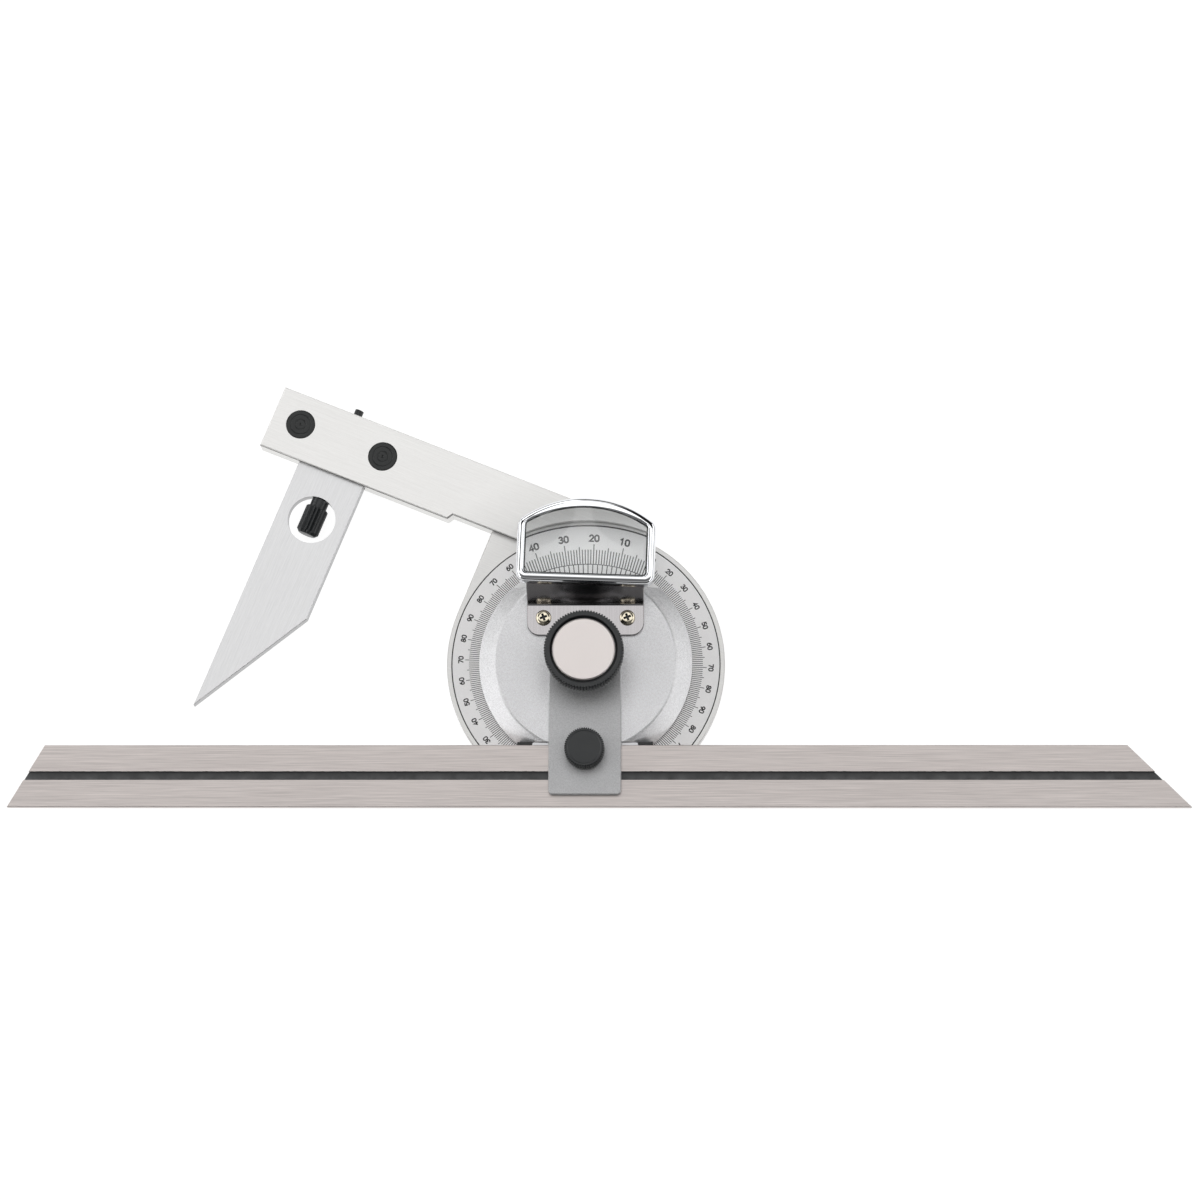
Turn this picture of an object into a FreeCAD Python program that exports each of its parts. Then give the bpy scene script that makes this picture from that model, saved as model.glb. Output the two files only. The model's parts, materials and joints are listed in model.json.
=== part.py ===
import FreeCAD, Part
import math
import os
import Sketcher

# Universal bevel protractor with a magnifier and an acute-angle attachment.
# The tool lies on its flat back: the origin is on the dial axis in the back plane,
# +X runs along the long blade, +Z points out of the dial face.
# The stock is drawn along its own bar and then turned by the angle at which the tool is set.

doc = FreeCAD.newDocument("BevelProtractor")
sheet = doc.addObject("Spreadsheet::Sheet", "Sizes")

# Driving dimensions in millimetres and degrees: alias, value, meaning.
DRIVING = [
    ("set_angle", "21.9", "angle between the bar and the long blade"),
    ("running_gap", "0.03", "radial clearance of a turning fit"),
    ("fit_gap", "0.02", "radial clearance of a piece fixed in its hole"),
    ("slide_gap", "0.05", "clearance of each sliding flat"),
    ("thrust_gap", "0.1", "axial play of the turret"),
    ("edge_break", "0.25", "chamfer on the ground edges"),
    ("fine_break", "0.15", "chamfer on the blades and the sheet"),
    ("plate_depth", "4", "thickness of the stock's disc and web"),
    ("bar_depth", "6", "thickness of the bar"),
    ("edge_near", "21.75", "working edge to dial axis"),
    ("bar_margin", "3.55", "outer edge of the bar beyond the recess wall's sweep"),
    ("bar_far_end", "100.3", "free end of the bar to dial axis"),
    ("bar_near_end", "2", "other end of the bar past the dial axis"),
    ("relief_start", "47.5", "where the working edge steps back"),
    ("relief_depth", "1.5", "how far it steps back"),
    ("relief_run", "0.9", "length of the step"),
    ("dial_radius", "34.25", "main scale disc"),
    ("dial_groove", "0.3", "ring gap between main scale and rim"),
    ("rim_width", "1.15", "rim of the stock's disc outside that gap"),
    ("dial_depth", "1.2", "thickness of the main scale disc"),
    ("bar_sweep", "0.4", "recess wall to the raised part of the bar"),
    ("bush_radius", "10", "bearing bush, outside"),
    ("bush_wall", "2", "bearing bush, wall"),
    ("head_radius", "12", "head of the clamp stud"),
    ("head_depth", "1.4", "its thickness"),
    ("head_gap", "0.3", "gap round the head"),
    ("spanner_radius", "1.1", "spanner holes in the head"),
    ("spanner_offset", "7.5", "their distance from the axis"),
    ("spanner_depth", "0.8", "their depth"),
    ("attach_centre", "80.25", "middle of the acute blade to dial axis, along the bar"),
    ("pin_radius", "3.8", "locating pins"),
    ("pin_spacing", "23.2", "between the locating pins"),
    ("pin_lead", "0.75", "middle between the pins past the middle of the acute blade"),
    ("pin_inset", "7.8", "their centres below the bar's outer edge"),
    ("pin_bevel", "0.3", "bevel of a pin"),
    ("acute_depth", "3", "thickness of the acute blade"),
    ("acute_reach", "69.25", "working edge to its tip"),
    ("acute_angle", "30", "angle of its tip"),
    ("shoulder_depth", "3.2", "how far its shoulders enter the bar"),
    ("shoulder_step", "2.85", "width of each shoulder beside the tongue"),
    ("tongue_clearance", "0.8", "tongue to the locating pin on each side"),
    ("tongue_depth", "11", "working edge to the tongue's end"),
    ("mortise_gap", "0.1", "clearance round the tongue"),
    ("finger_radius", "6.2", "finger hole"),
    ("finger_drop", "13.1", "its centre below the working edge"),
    ("screw_radius", "1.15", "thumb screw shank"),
    ("screw_proud", "1.9", "shank end past the bar's outer edge"),
    ("thumb_radius", "2.95", "thumb screw head"),
    ("thumb_length", "7.5", "its length"),
    ("thumb_chamfer", "0.75", "chamfer at its free end"),
    ("collar_radius", "2.25", "thumb screw collar"),
    ("collar_length", "2.2", "its length"),
    ("vernier_radius", "27.2", "vernier plate"),
    ("vernier_depth", "0.8", "its thickness"),
    ("hub_radius", "14", "flange of the turret hub"),
    ("stud_radius", "3", "clamp stud"),
    ("cover_radius", "27.3", "turret cover at its foot"),
    ("cover_top_radius", "23.2", "turret cover at its top face"),
    ("cover_foot", "0.35", "upright foot below the bevel"),
    ("cover_height", "3.6", "height of the cover"),
    ("cover_wall", "1.4", "its top wall"),
    ("cover_break", "0.22", "small bevel between its bevel and its top face"),
    ("cover_flat_high", "19.5", "flat by the magnifier, to the axis"),
    ("cover_flat_low", "20.9", "flat by the blade, to the axis"),
    ("seat_half", "13.45", "half length of the blade seat"),
    ("seat_inside", "15.2", "inner edge of the seat to the axis"),
    ("seat_outside", "31.6", "outer edge of the seat to the axis"),
    ("seat_corner", "3", "its corner radius"),
    ("seat_depth", "1.35", "its thickness"),
    ("fence_wall", "0.75", "rib that the blade's back edge runs on"),
    ("fence_rise", "1.2", "height of the rib"),
    ("fence_round", "0.5", "rounding of its ends"),
    ("blade_length", "300", "long blade"),
    ("blade_width", "15.87", "its width"),
    ("blade_depth", "2.15", "its thickness"),
    ("blade_centre", "3.1", "where its middle stands"),
    ("blade_left_angle", "60", "angle of its left end"),
    ("blade_right_angle", "45", "angle of its right end"),
    ("groove_width", "2.2", "groove along the blade"),
    ("groove_depth", "1.1", "its depth"),
    ("groove_drop", "7.85", "blade's back edge to the middle of the groove"),
    ("key_height", "0.9", "key under the clamp plate"),
    ("plate_half", "9.22", "half width of the clamp plate"),
    ("plate_high", "6", "its end beyond the axis"),
    ("plate_low", "34.7", "its end over the blade"),
    ("plate_wall", "1.6", "its thickness"),
    ("plate_corner", "1.2", "its corner radius"),
    ("dowel_radius", "1.25", "dowel between hub, cover and plate"),
    ("dowel_offset", "11.2", "its distance from the axis"),
    ("dowel_bite", "1", "how far it enters the plate"),
    ("washer_radius", "8", "thrust washer"),
    ("washer_wall", "0.4", "its thickness"),
    ("knob_radius", "10.05", "dial clamp knob"),
    ("knob_height", "13.8", "its height"),
    ("knob_ring", "4.9", "height of its gripping ring"),
    ("knob_neck", "7", "radius of its neck"),
    ("knob_chamfer", "0.45", "chamfer of its top"),
    ("cap_radius", "7.9", "cap let into the knob"),
    ("cap_gap", "0.25", "ring gap round the cap"),
    ("cap_depth", "1.3", "thickness of the cap"),
    ("cap_bevel", "0.3", "bevel of the cap"),
    ("insert_radius", "5", "threaded insert in the knob"),
    ("stud_rise", "10", "clamp stud above the washer"),
    ("lock_radius", "5.05", "blade clamp knob"),
    ("lock_height", "5.4", "its height"),
    ("lock_chamfer", "0.4", "chamfer of its top"),
    ("lock_lift", "0.5", "gap under it"),
    ("lock_inset", "1.65", "its axis inside the blade's back edge"),
    ("lock_screw_radius", "1.5", "blade clamp screw"),
    ("lock_screw_bite", "4", "how far the screw enters the knob"),
    ("sheet_wall", "1", "sheet of the magnifier bracket"),
    ("bracket_half", "14.95", "half width of the bracket"),
    ("bracket_low", "6.4", "lower edge of its flange"),
    ("bracket_bend", "14.4", "where its wall starts to rise"),
    ("bracket_corner", "3.2", "corner radius of the flange"),
    ("bracket_lean", "4.2", "how far the wall leans outward"),
    ("bend_radius", "0.7", "inside radius of the bend"),
    ("bracket_screw_x", "10.7", "bracket screws, half spacing"),
    ("bracket_screw_y", "10.9", "bracket screws, to the axis"),
    ("bracket_screw_radius", "1.1", "their shanks"),
    ("bracket_head_radius", "2", "their heads"),
    ("bracket_head_height", "1.15", "height of their heads"),
    ("bracket_head_wall", "0.6", "upright side of their heads"),
    ("bracket_head_top_radius", "1.45", "flat top of their heads"),
    ("frame_turn", "2", "how far the magnifier frame is turned"),
    ("frame_lift", "16", "underside of the frame above the back"),
    ("frame_depth", "4", "thickness of the frame"),
    ("frame_half", "17.65", "half width of the frame"),
    ("frame_low", "17.95", "lower edge of the frame to the dial axis"),
    ("frame_side", "15.85", "height of its straight sides"),
    ("frame_rise", "6.4", "rise of its arched top"),
    ("frame_corner", "2.6", "its corner radius"),
    ("frame_bevel", "0.8", "bevel of its upper outer edge"),
    ("frame_break", "0.5", "bevel of its lower outer edge"),
    ("rail_side", "2.1", "width of its side rails"),
    ("rail_low", "2.25", "width of its lower rail"),
    ("rail_high", "2.85", "width of its arched rail at the crown"),
    ("window_side", "12.95", "height of the window's straight sides"),
    ("window_corner", "1", "window corner radius"),
    ("window_break", "0.35", "bevel of the window's upper edge"),
    ("lens_gap", "0.04", "clearance round the lens"),
    ("lens_edge", "0.9", "lens thickness at the end of its long diagonal"),
    ("lens_top_curve", "36.4", "radius of its upper face"),
    ("lens_low_curve", "400", "radius of its nearly flat lower face"),
    ("lens_shift_x", "-1.2", "summit of the lens to the middle of the window, across"),
    ("lens_shift_y", "-1.35", "the same, lengthwise"),
]

# Dimensions that follow from the driving ones.
DERIVED = [
    ("turn_cos", "=cos(set_angle * 1 deg)"),
    ("turn_sin", "=sin(set_angle * 1 deg)"),
    ("relief_line", "=edge_near + relief_depth"),
    ("relief_end", "=relief_start - relief_run"),
    ("recess_radius", "=dial_radius + dial_groove"),
    ("disc_radius", "=recess_radius + rim_width"),
    ("sweep_radius", "=recess_radius + bar_sweep"),
    ("edge_far", "=sweep_radius + bar_margin"),
    ("bar_width", "=edge_far - edge_near"),
    ("sweep_left", "=sqrt(sweep_radius * sweep_radius - relief_line * relief_line)"),
    ("sweep_right", "=sqrt(sweep_radius * sweep_radius - bar_near_end * bar_near_end)"),
    ("recess_floor", "=plate_depth - dial_depth"),
    ("back_recess", "=head_depth + thrust_gap"),
    ("back_recess_radius", "=head_radius + head_gap"),
    ("bush_inside", "=bush_radius - bush_wall"),
    ("bush_outside", "=bush_radius - fit_gap"),
    ("spindle_radius", "=bush_inside - running_gap"),
    ("stud_hole", "=stud_radius + slide_gap"),
    ("pin_outer", "=attach_centre + pin_lead + pin_spacing / 2"),
    ("pin_inner", "=attach_centre + pin_lead - pin_spacing / 2"),
    ("pin_line", "=edge_far - pin_inset"),
    ("pin_hole", "=pin_radius + fit_gap"),
    ("tongue_half", "=pin_spacing / 2 - pin_lead - pin_radius - tongue_clearance"),
    ("acute_half", "=tongue_half + shoulder_step"),
    ("acute_width", "=2 * acute_half"),
    ("acute_short", "=acute_reach - acute_width / tan(acute_angle * 1 deg)"),
    ("acute_floor", "=(bar_depth - acute_depth) / 2"),
    ("thumb_hole", "=screw_radius + slide_gap"),
    ("screw_mid", "=bar_depth / 2"),
    ("finger_top", "=edge_near - finger_drop + sqrt(finger_radius * finger_radius - collar_radius * collar_radius)"),
    ("collar_top", "=finger_top - slide_gap"),
    ("collar_foot", "=collar_top - collar_length"),
    ("thumb_end", "=collar_foot - thumb_length"),
    ("thumb_tip_radius", "=thumb_radius - thumb_chamfer"),
    ("thumb_grip_foot", "=thumb_end + thumb_chamfer"),
    ("screw_tip", "=edge_far + screw_proud"),
    ("vernier_floor", "=plate_depth + thrust_gap"),
    ("cover_floor", "=vernier_floor + vernier_depth"),
    ("cover_bevel_foot", "=cover_floor + cover_foot"),
    ("cover_top", "=cover_floor + cover_height"),
    ("cover_ceiling", "=cover_top - cover_wall"),
    ("cover_slope", "=(cover_radius - cover_top_radius) / (cover_height - cover_foot)"),
    ("cover_break_foot", "=cover_top - cover_break"),
    ("cover_break_radius", "=cover_top_radius + cover_break * cover_slope"),
    ("cover_face_radius", "=cover_top_radius - cover_break"),
    ("cavity_radius", "=cover_top_radius - fit_gap"),
    ("cavity_high", "=cover_flat_high - cover_wall"),
    ("cavity_low", "=cover_flat_low - cover_wall"),
    ("cavity_high_x", "=sqrt(cavity_radius * cavity_radius - cavity_high * cavity_high)"),
    ("cavity_low_x", "=sqrt(cavity_radius * cavity_radius - cavity_low * cavity_low)"),
    ("vernier_hole", "=spindle_radius + fit_gap"),
    ("seat_top", "=cover_floor + seat_depth"),
    ("fence_inside", "=cover_flat_low + thrust_gap"),
    ("fence_outside", "=fence_inside + fence_wall"),
    ("blade_back", "=fence_outside + slide_gap"),
    ("blade_front", "=blade_back + blade_width"),
    ("blade_floor", "=cover_top - slide_gap - blade_depth"),
    ("blade_left", "=blade_length / 2 - blade_centre"),
    ("blade_right", "=blade_length / 2 + blade_centre"),
    ("blade_left_back", "=blade_left - blade_width / tan(blade_left_angle * 1 deg)"),
    ("blade_right_back", "=blade_right - blade_width / tan(blade_right_angle * 1 deg)"),
    ("groove_line", "=blade_back + groove_drop"),
    ("key_width", "=groove_width - 2 * slide_gap"),
    ("plate_top", "=cover_top + plate_wall"),
    ("dowel_hole", "=dowel_radius + fit_gap"),
    ("dowel_top", "=cover_top + dowel_bite"),
    ("washer_top", "=plate_top + washer_wall"),
    ("knob_floor", "=washer_top + thrust_gap"),
    ("knob_top", "=knob_floor + knob_height"),
    ("knob_ring_foot", "=knob_top - knob_ring"),
    ("knob_ring_edge", "=knob_top - knob_chamfer"),
    ("knob_rim", "=knob_radius - knob_chamfer"),
    ("cap_recess", "=cap_radius + cap_gap"),
    ("cap_floor", "=knob_top - cap_depth"),
    ("insert_hole", "=insert_radius + fit_gap"),
    ("insert_height", "=cap_floor - knob_floor"),
    ("stud_top", "=washer_top + stud_rise"),
    ("lock_line", "=blade_back + lock_inset"),
    ("lock_floor", "=plate_top + lock_lift"),
    ("lock_top", "=lock_floor + lock_height"),
    ("lock_rim", "=lock_radius - lock_chamfer"),
    ("lock_grip_top", "=lock_top - lock_chamfer"),
    ("lock_screw_hole", "=lock_screw_radius + slide_gap"),
    ("lock_screw_socket", "=lock_screw_radius + fit_gap"),
    ("lock_screw_top", "=lock_floor + lock_screw_bite"),
    ("bracket_top", "=cover_top + sheet_wall"),
    ("wall_high", "=bracket_bend + bracket_lean"),
    ("wall_slope", "=bracket_lean / (frame_lift - bracket_top)"),
    ("wall_across", "=sheet_wall * sqrt(1 + wall_slope * wall_slope)"),
    ("wall_outside", "=wall_high + wall_across"),
    ("bracket_heel", "=bracket_bend + wall_across - sheet_wall * wall_slope"),
    ("bend_outside", "=bend_radius + sheet_wall"),
    ("bracket_head_top", "=bracket_top + bracket_head_height"),
    ("bracket_hole", "=bracket_screw_radius + fit_gap"),
    ("bracket_head_edge", "=bracket_top + bracket_head_wall"),
    ("frame_shoulder", "=frame_side"),
    ("frame_arch", "=(frame_half * frame_half + frame_rise * frame_rise) / (2 * frame_rise)"),
    ("window_half", "=frame_half - rail_side"),
    ("window_top", "=rail_low + window_side"),
    ("window_rise", "=frame_side + frame_rise - rail_high - window_top"),
    ("window_arch", "=(window_half * window_half + window_rise * window_rise) / (2 * window_rise)"),
    ("lens_half", "=window_half - lens_gap"),
    ("lens_low", "=rail_low + lens_gap"),
    ("lens_shoulder", "=window_top - lens_gap"),
    ("lens_arch", "=(lens_half * lens_half + window_rise * window_rise) / (2 * window_rise)"),
    ("lens_middle", "=(rail_low + window_top + window_rise) / 2"),
    ("lens_diagonal", "=sqrt(lens_half * lens_half + (lens_middle - lens_low) * (lens_middle - lens_low))"),
    ("lens_top_drop", "=lens_top_curve - sqrt(lens_top_curve * lens_top_curve - lens_diagonal * lens_diagonal)"),
    ("lens_low_drop", "=lens_low_curve - sqrt(lens_low_curve * lens_low_curve - lens_diagonal * lens_diagonal)"),
    ("lens_crown", "=(frame_depth + lens_edge) / 2 + lens_top_drop"),
    ("lens_below", "=lens_low_drop - (frame_depth - lens_edge) / 2"),
    ("lens_block", "=lens_crown + lens_below"),
    ("lens_rise", "=lens_middle + lens_shift_y"),
    ("lens_summit_x", "=lens_shift_x * cos(frame_turn * 1 deg) + lens_rise * sin(frame_turn * 1 deg)"),
    ("lens_summit_y", "=lens_rise * cos(frame_turn * 1 deg) - lens_shift_x * sin(frame_turn * 1 deg)"),
    ("lens_corner", "=window_corner - lens_gap"),
]


def fill_sheet():
    """Write every dimension into the sheet under its alias."""
    row = 0
    for alias, value, meaning in DRIVING:
        row += 1
        sheet.set(f"A{row}", meaning)
        sheet.set(f"B{row}", value)
        sheet.setAlias(f"B{row}", alias)
    for alias, formula in DERIVED:
        row += 1
        sheet.set(f"A{row}", alias)
        sheet.set(f"B{row}", formula)
        sheet.setAlias(f"B{row}", alias)
    doc.recompute()


def size(alias):
    """Value of a cell; a leading minus gives the opposite of it and 0 is nought."""
    if alias == "0":
        return 0.0
    if alias.startswith("-"):
        return -float(getattr(sheet, alias[1:]))
    return float(getattr(sheet, alias))


def cell(alias):
    """The same cell as text for an expression."""
    if alias == "0":
        return "0"
    if alias.startswith("-"):
        return f"-Sizes.{alias[1:]}"
    return f"Sizes.{alias}"


def new_body(label):
    """An empty body that will be one sub-part."""
    body = doc.addObject("PartDesign::Body", label)
    body.Label = label
    return body


def origin_feature(body, role):
    """One of the body's own origin planes or axes."""
    for feature in body.Origin.OriginFeatures:
        if feature.Role == role:
            return feature
    raise ValueError(role)


def new_sketch(body, name, level="0", role="XY_Plane"):
    """A sketch on one of the body's origin planes, lifted along its normal."""
    sketch = body.newObject("Sketcher::SketchObject", name)
    sketch.AttachmentSupport = [(origin_feature(body, role), "")]
    sketch.MapMode = "FlatFace"
    sketch.setExpression("AttachmentOffset.Base.z", cell(level))
    return sketch


def hold_point(sketch, geometry, end, across, along):
    """Tie a point of the sketch to two cells, measured from the origin."""
    point = sketch.getPoint(geometry, end)
    for kind, alias, axis, value in (("DistanceX", across, -2, point.x), ("DistanceY", along, -1, point.y)):
        if alias == "0":
            sketch.addConstraint(Sketcher.Constraint("PointOnObject", geometry, end, axis))
        else:
            index = sketch.addConstraint(Sketcher.Constraint(kind, -1, 1, geometry, end, value))
            sketch.setExpression(f"Constraints[{index}]", cell(alias))


def draw_outline(sketch, corners, arcs=None):
    """A closed outline through the corners, each given by two cells.

    arcs maps the number of a side to its radius cell and the side of the chord
    on which the centre lies: 1 on its left, -1 on its right.
    """
    arcs = arcs or {}
    points = [FreeCAD.Vector(size(x), size(y), 0) for x, y in corners]
    sides = []
    for number, start in enumerate(points):
        end = points[(number + 1) % len(points)]
        if number not in arcs:
            geometry = sketch.addGeometry(Part.LineSegment(start, end), False)
            sides.append((geometry, 1, 2))
            continue
        alias, hand = arcs[number]
        radius = size(alias)
        chord = end - start
        left = FreeCAD.Vector(-chord.y, chord.x, 0).normalize()
        lift = math.sqrt(max(radius ** 2 - (chord.Length / 2) ** 2, 0.0))
        centre = (start + end) * 0.5 + left * (hand * lift)
        first, last = (start, end) if hand > 0 else (end, start)
        angles = [math.atan2(p.y - centre.y, p.x - centre.x) for p in (first, last)]
        circle = Part.Circle(centre, FreeCAD.Vector(0, 0, 1), radius)
        geometry = sketch.addGeometry(Part.ArcOfCircle(circle, angles[0], angles[1]), False)
        sides.append((geometry, 1, 2) if hand > 0 else (geometry, 2, 1))
    for number, (geometry, begin, finish) in enumerate(sides):
        following = sides[(number + 1) % len(sides)]
        sketch.addConstraint(Sketcher.Constraint("Coincident", geometry, finish, following[0], following[1]))
        hold_point(sketch, geometry, begin, *corners[number])
    for number, (alias, hand) in arcs.items():
        index = sketch.addConstraint(Sketcher.Constraint("Radius", sides[number][0], size(alias)))
        sketch.setExpression(f"Constraints[{index}]", cell(alias))


def draw_circle(sketch, radius, across="0", along="0"):
    """A circle whose radius and centre come from cells."""
    centre = FreeCAD.Vector(size(across), size(along), 0)
    circle = sketch.addGeometry(Part.Circle(centre, FreeCAD.Vector(0, 0, 1), size(radius)), False)
    hold_point(sketch, circle, 3, across, along)
    index = sketch.addConstraint(Sketcher.Constraint("Radius", circle, size(radius)))
    sketch.setExpression(f"Constraints[{index}]", cell(radius))


def pad(body, sketch, height):
    """Raise a sketch by the height in a cell."""
    feature = body.newObject("PartDesign::Pad", f"{sketch.Name}Pad")
    feature.Profile = sketch
    feature.setExpression("Length", cell(height))
    doc.recompute()
    return feature


def pocket(body, sketch, depth=None):
    """Cut a sketch down by the depth in a cell, or through everything below it."""
    before = body.Shape.Volume
    feature = body.newObject("PartDesign::Pocket", f"{sketch.Name}Cut")
    feature.Profile = sketch
    if depth is None:
        feature.Type = "ThroughAll"
    else:
        feature.setExpression("Length", cell(depth))
    doc.recompute()
    if not body.Shape.Volume < before:
        raise ValueError(f"{body.Label}: {feature.Name} removes nothing")
    return feature


def turned(body, corners, arcs=None, name="Profile"):
    """Revolve an outline of radius and height cells about the upright axis."""
    sketch = new_sketch(body, name, role="XZ_Plane")
    draw_outline(sketch, corners, arcs)
    feature = body.newObject("PartDesign::Revolution", f"{name}Turn")
    feature.Profile = sketch
    feature.ReferenceAxis = (sketch, ["V_Axis"])
    feature.Angle = 360
    doc.recompute()
    return feature


def box_cut(body, name, lengths, corner):
    """Remove a block: three expressions for its sides, three for its lowest corner."""
    feature = body.newObject("PartDesign::SubtractiveBox", name)
    for side, text in zip(("Length", "Width", "Height"), lengths):
        feature.setExpression(side, text)
    for axis, text in zip("xyz", corner):
        feature.setExpression(f"Placement.Base.{axis}", text)
    doc.recompute()
    return feature


def bore_along(body, name, radius, length, start):
    """Drill a hole along +Y of the body: cells for radius, expressions for length and start."""
    feature = body.newObject("PartDesign::SubtractiveCylinder", name)
    feature.Placement = FreeCAD.Placement(FreeCAD.Vector(), FreeCAD.Rotation(FreeCAD.Vector(1, 0, 0), -90))
    feature.setExpression("Radius", cell(radius))
    feature.setExpression("Height", length)
    for axis, text in zip("xyz", start):
        feature.setExpression(f"Placement.Base.{axis}", text)
    doc.recompute()
    return feature


def chosen_edges(shape, wanted):
    """Names of the edges for which the test holds."""
    return [f"Edge{number}" for number, edge in enumerate(shape.Edges, 1) if wanted(edge)]


def dress(body, kind, name, wanted, radius):
    """Round or chamfer the edges for which the test holds."""
    base = body.Tip
    feature = body.newObject(f"PartDesign::{kind}", name)
    feature.Base = (base, chosen_edges(base.Shape, wanted))
    feature.setExpression("Radius" if kind == "Fillet" else "Size", cell(radius))
    doc.recompute()
    return feature


def disc(name, radius, height, level):
    """A plain round block on the dial axis, used inside booleans."""
    block = doc.addObject("Part::Cylinder", name)
    block.setExpression("Radius", cell(radius))
    block.setExpression("Height", cell(height))
    block.setExpression("Placement.Base.z", cell(level))
    return block


def ring(label, outer, inner, height, level):
    """A flat ring on the dial axis."""
    result = doc.addObject("Part::Cut", label)
    result.Label = label
    result.Base = disc(f"{label}_outside", outer, height, level)
    result.Tool = disc(f"{label}_inside", inner, height, level)
    doc.recompute()
    return result


def set_with_stock(piece, along="0", outward="0"):
    """Turn a piece with the stock and carry it to a point given along the bar and outward from the axis."""
    piece.Placement = FreeCAD.Placement(FreeCAD.Vector(), FreeCAD.Rotation(FreeCAD.Vector(0, 0, 1), 1))
    piece.setExpression("Placement.Rotation.Angle", "-Sizes.set_angle")
    piece.setExpression("Placement.Base.x", f"({cell(along)}) * Sizes.turn_cos + ({cell(outward)}) * Sizes.turn_sin")
    piece.setExpression("Placement.Base.y", f"({cell(outward)}) * Sizes.turn_cos - ({cell(along)}) * Sizes.turn_sin")
    doc.recompute()


def make_stock():
    """Disc, web and thicker bar in one piece, recessed for the dial and slotted for the acute blade."""
    body = new_body("stock_body")
    sketch = new_sketch(body, "Plate")
    draw_circle(sketch, "disc_radius")
    pad(body, sketch, "plate_depth")
    sketch = new_sketch(body, "Web")
    draw_outline(sketch, [("-disc_radius", "0"), ("0", "0"), ("0", "relief_line"), ("-disc_radius", "relief_line")])
    pad(body, sketch, "plate_depth")
    plate_top = size("plate_depth")
    rim = size("disc_radius")

    def on_plate_rim(edge):
        level = edge.BoundBox.ZMin > plate_top - 1e-6
        reach = min(math.hypot(point.X, point.Y) for point in edge.Vertexes)
        return level and reach > rim - 1e-6 and edge.BoundBox.YMin < size("relief_line") - 1e-3

    dress(body, "Chamfer", "RimEdges", on_plate_rim, "edge_break")
    sketch = new_sketch(body, "Bar")
    corners = [
        ("-bar_far_end", "edge_near"),
        ("-relief_start", "edge_near"),
        ("-relief_end", "relief_line"),
        ("-sweep_left", "relief_line"),
        ("bar_near_end", "sweep_right"),
        ("bar_near_end", "edge_far"),
        ("-bar_far_end", "edge_far"),
    ]
    draw_outline(sketch, corners, {3: ("sweep_radius", -1)})
    pad(body, sketch, "bar_depth")

    top = size("bar_depth")

    def on_bar_face(edge):
        box = edge.BoundBox
        return abs(box.ZMin - top) < 1e-6 and abs(box.ZMax - top) < 1e-6

    dress(body, "Chamfer", "BarEdges", on_bar_face, "edge_break")
    sketch = new_sketch(body, "DialRecess", "plate_depth")
    draw_circle(sketch, "recess_radius")
    pocket(body, sketch, "dial_depth")
    sketch = new_sketch(body, "BushBore", "recess_floor")
    draw_circle(sketch, "bush_radius")
    pocket(body, sketch)
    sketch = new_sketch(body, "HeadRecess", "back_recess")
    draw_circle(sketch, "back_recess_radius")
    pocket(body, sketch, "back_recess")
    slot_floor = "Sizes.acute_floor - Sizes.mortise_gap"
    slot_height = "Sizes.acute_depth + 2 * Sizes.mortise_gap"
    for name, half, depth in (("ShoulderSlot", "acute_half", "shoulder_depth"), ("TongueSlot", "tongue_half", "tongue_depth")):
        sides = (
            f"2 * (Sizes.{half} + Sizes.mortise_gap)",
            f"Sizes.{depth} + Sizes.mortise_gap + Sizes.relief_depth",
            slot_height,
        )
        corner = (
            f"-Sizes.attach_centre - Sizes.{half} - Sizes.mortise_gap",
            "Sizes.edge_near - Sizes.relief_depth",
            slot_floor,
        )
        box_cut(body, name, sides, corner)
    screw_start = ("-Sizes.attach_centre", "Sizes.edge_near", "Sizes.screw_mid")
    bore_along(body, "ScrewBore", "thumb_hole", "Sizes.bar_width + Sizes.screw_proud", screw_start)
    sketch = new_sketch(body, "PinHoles", "bar_depth")
    draw_circle(sketch, "pin_hole", "-pin_outer", "pin_line")
    draw_circle(sketch, "pin_hole", "-pin_inner", "pin_line")
    pocket(body, sketch)
    set_with_stock(body)
    return body


def make_dial():
    """Main scale disc let into the stock."""
    return ring("dial_disc", "dial_radius", "bush_radius", "dial_depth", "recess_floor")


def make_bush():
    """Bearing bush that the turret turns in."""
    body = new_body("pivot_bush")
    corners = [
        ("bush_inside", "back_recess"),
        ("bush_outside", "back_recess"),
        ("bush_outside", "plate_depth"),
        ("bush_inside", "plate_depth"),
    ]
    turned(body, corners)
    return body


def make_pin(label, along):
    """Locating pin with a bevelled end, flush with both faces of the bar."""
    body = new_body(label)
    turned(body, [("0", "0"), ("pin_radius", "0"), ("pin_radius", "bar_depth"), ("0", "bar_depth")])
    rim = size("pin_radius")
    top = size("bar_depth")

    def on_rim(edge):
        return edge.BoundBox.XMax > rim - 1e-6 and edge.BoundBox.ZMin > top - 1e-6

    dress(body, "Chamfer", "Rim", on_rim, "pin_bevel")
    set_with_stock(body, along, "pin_line")
    return body


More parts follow.
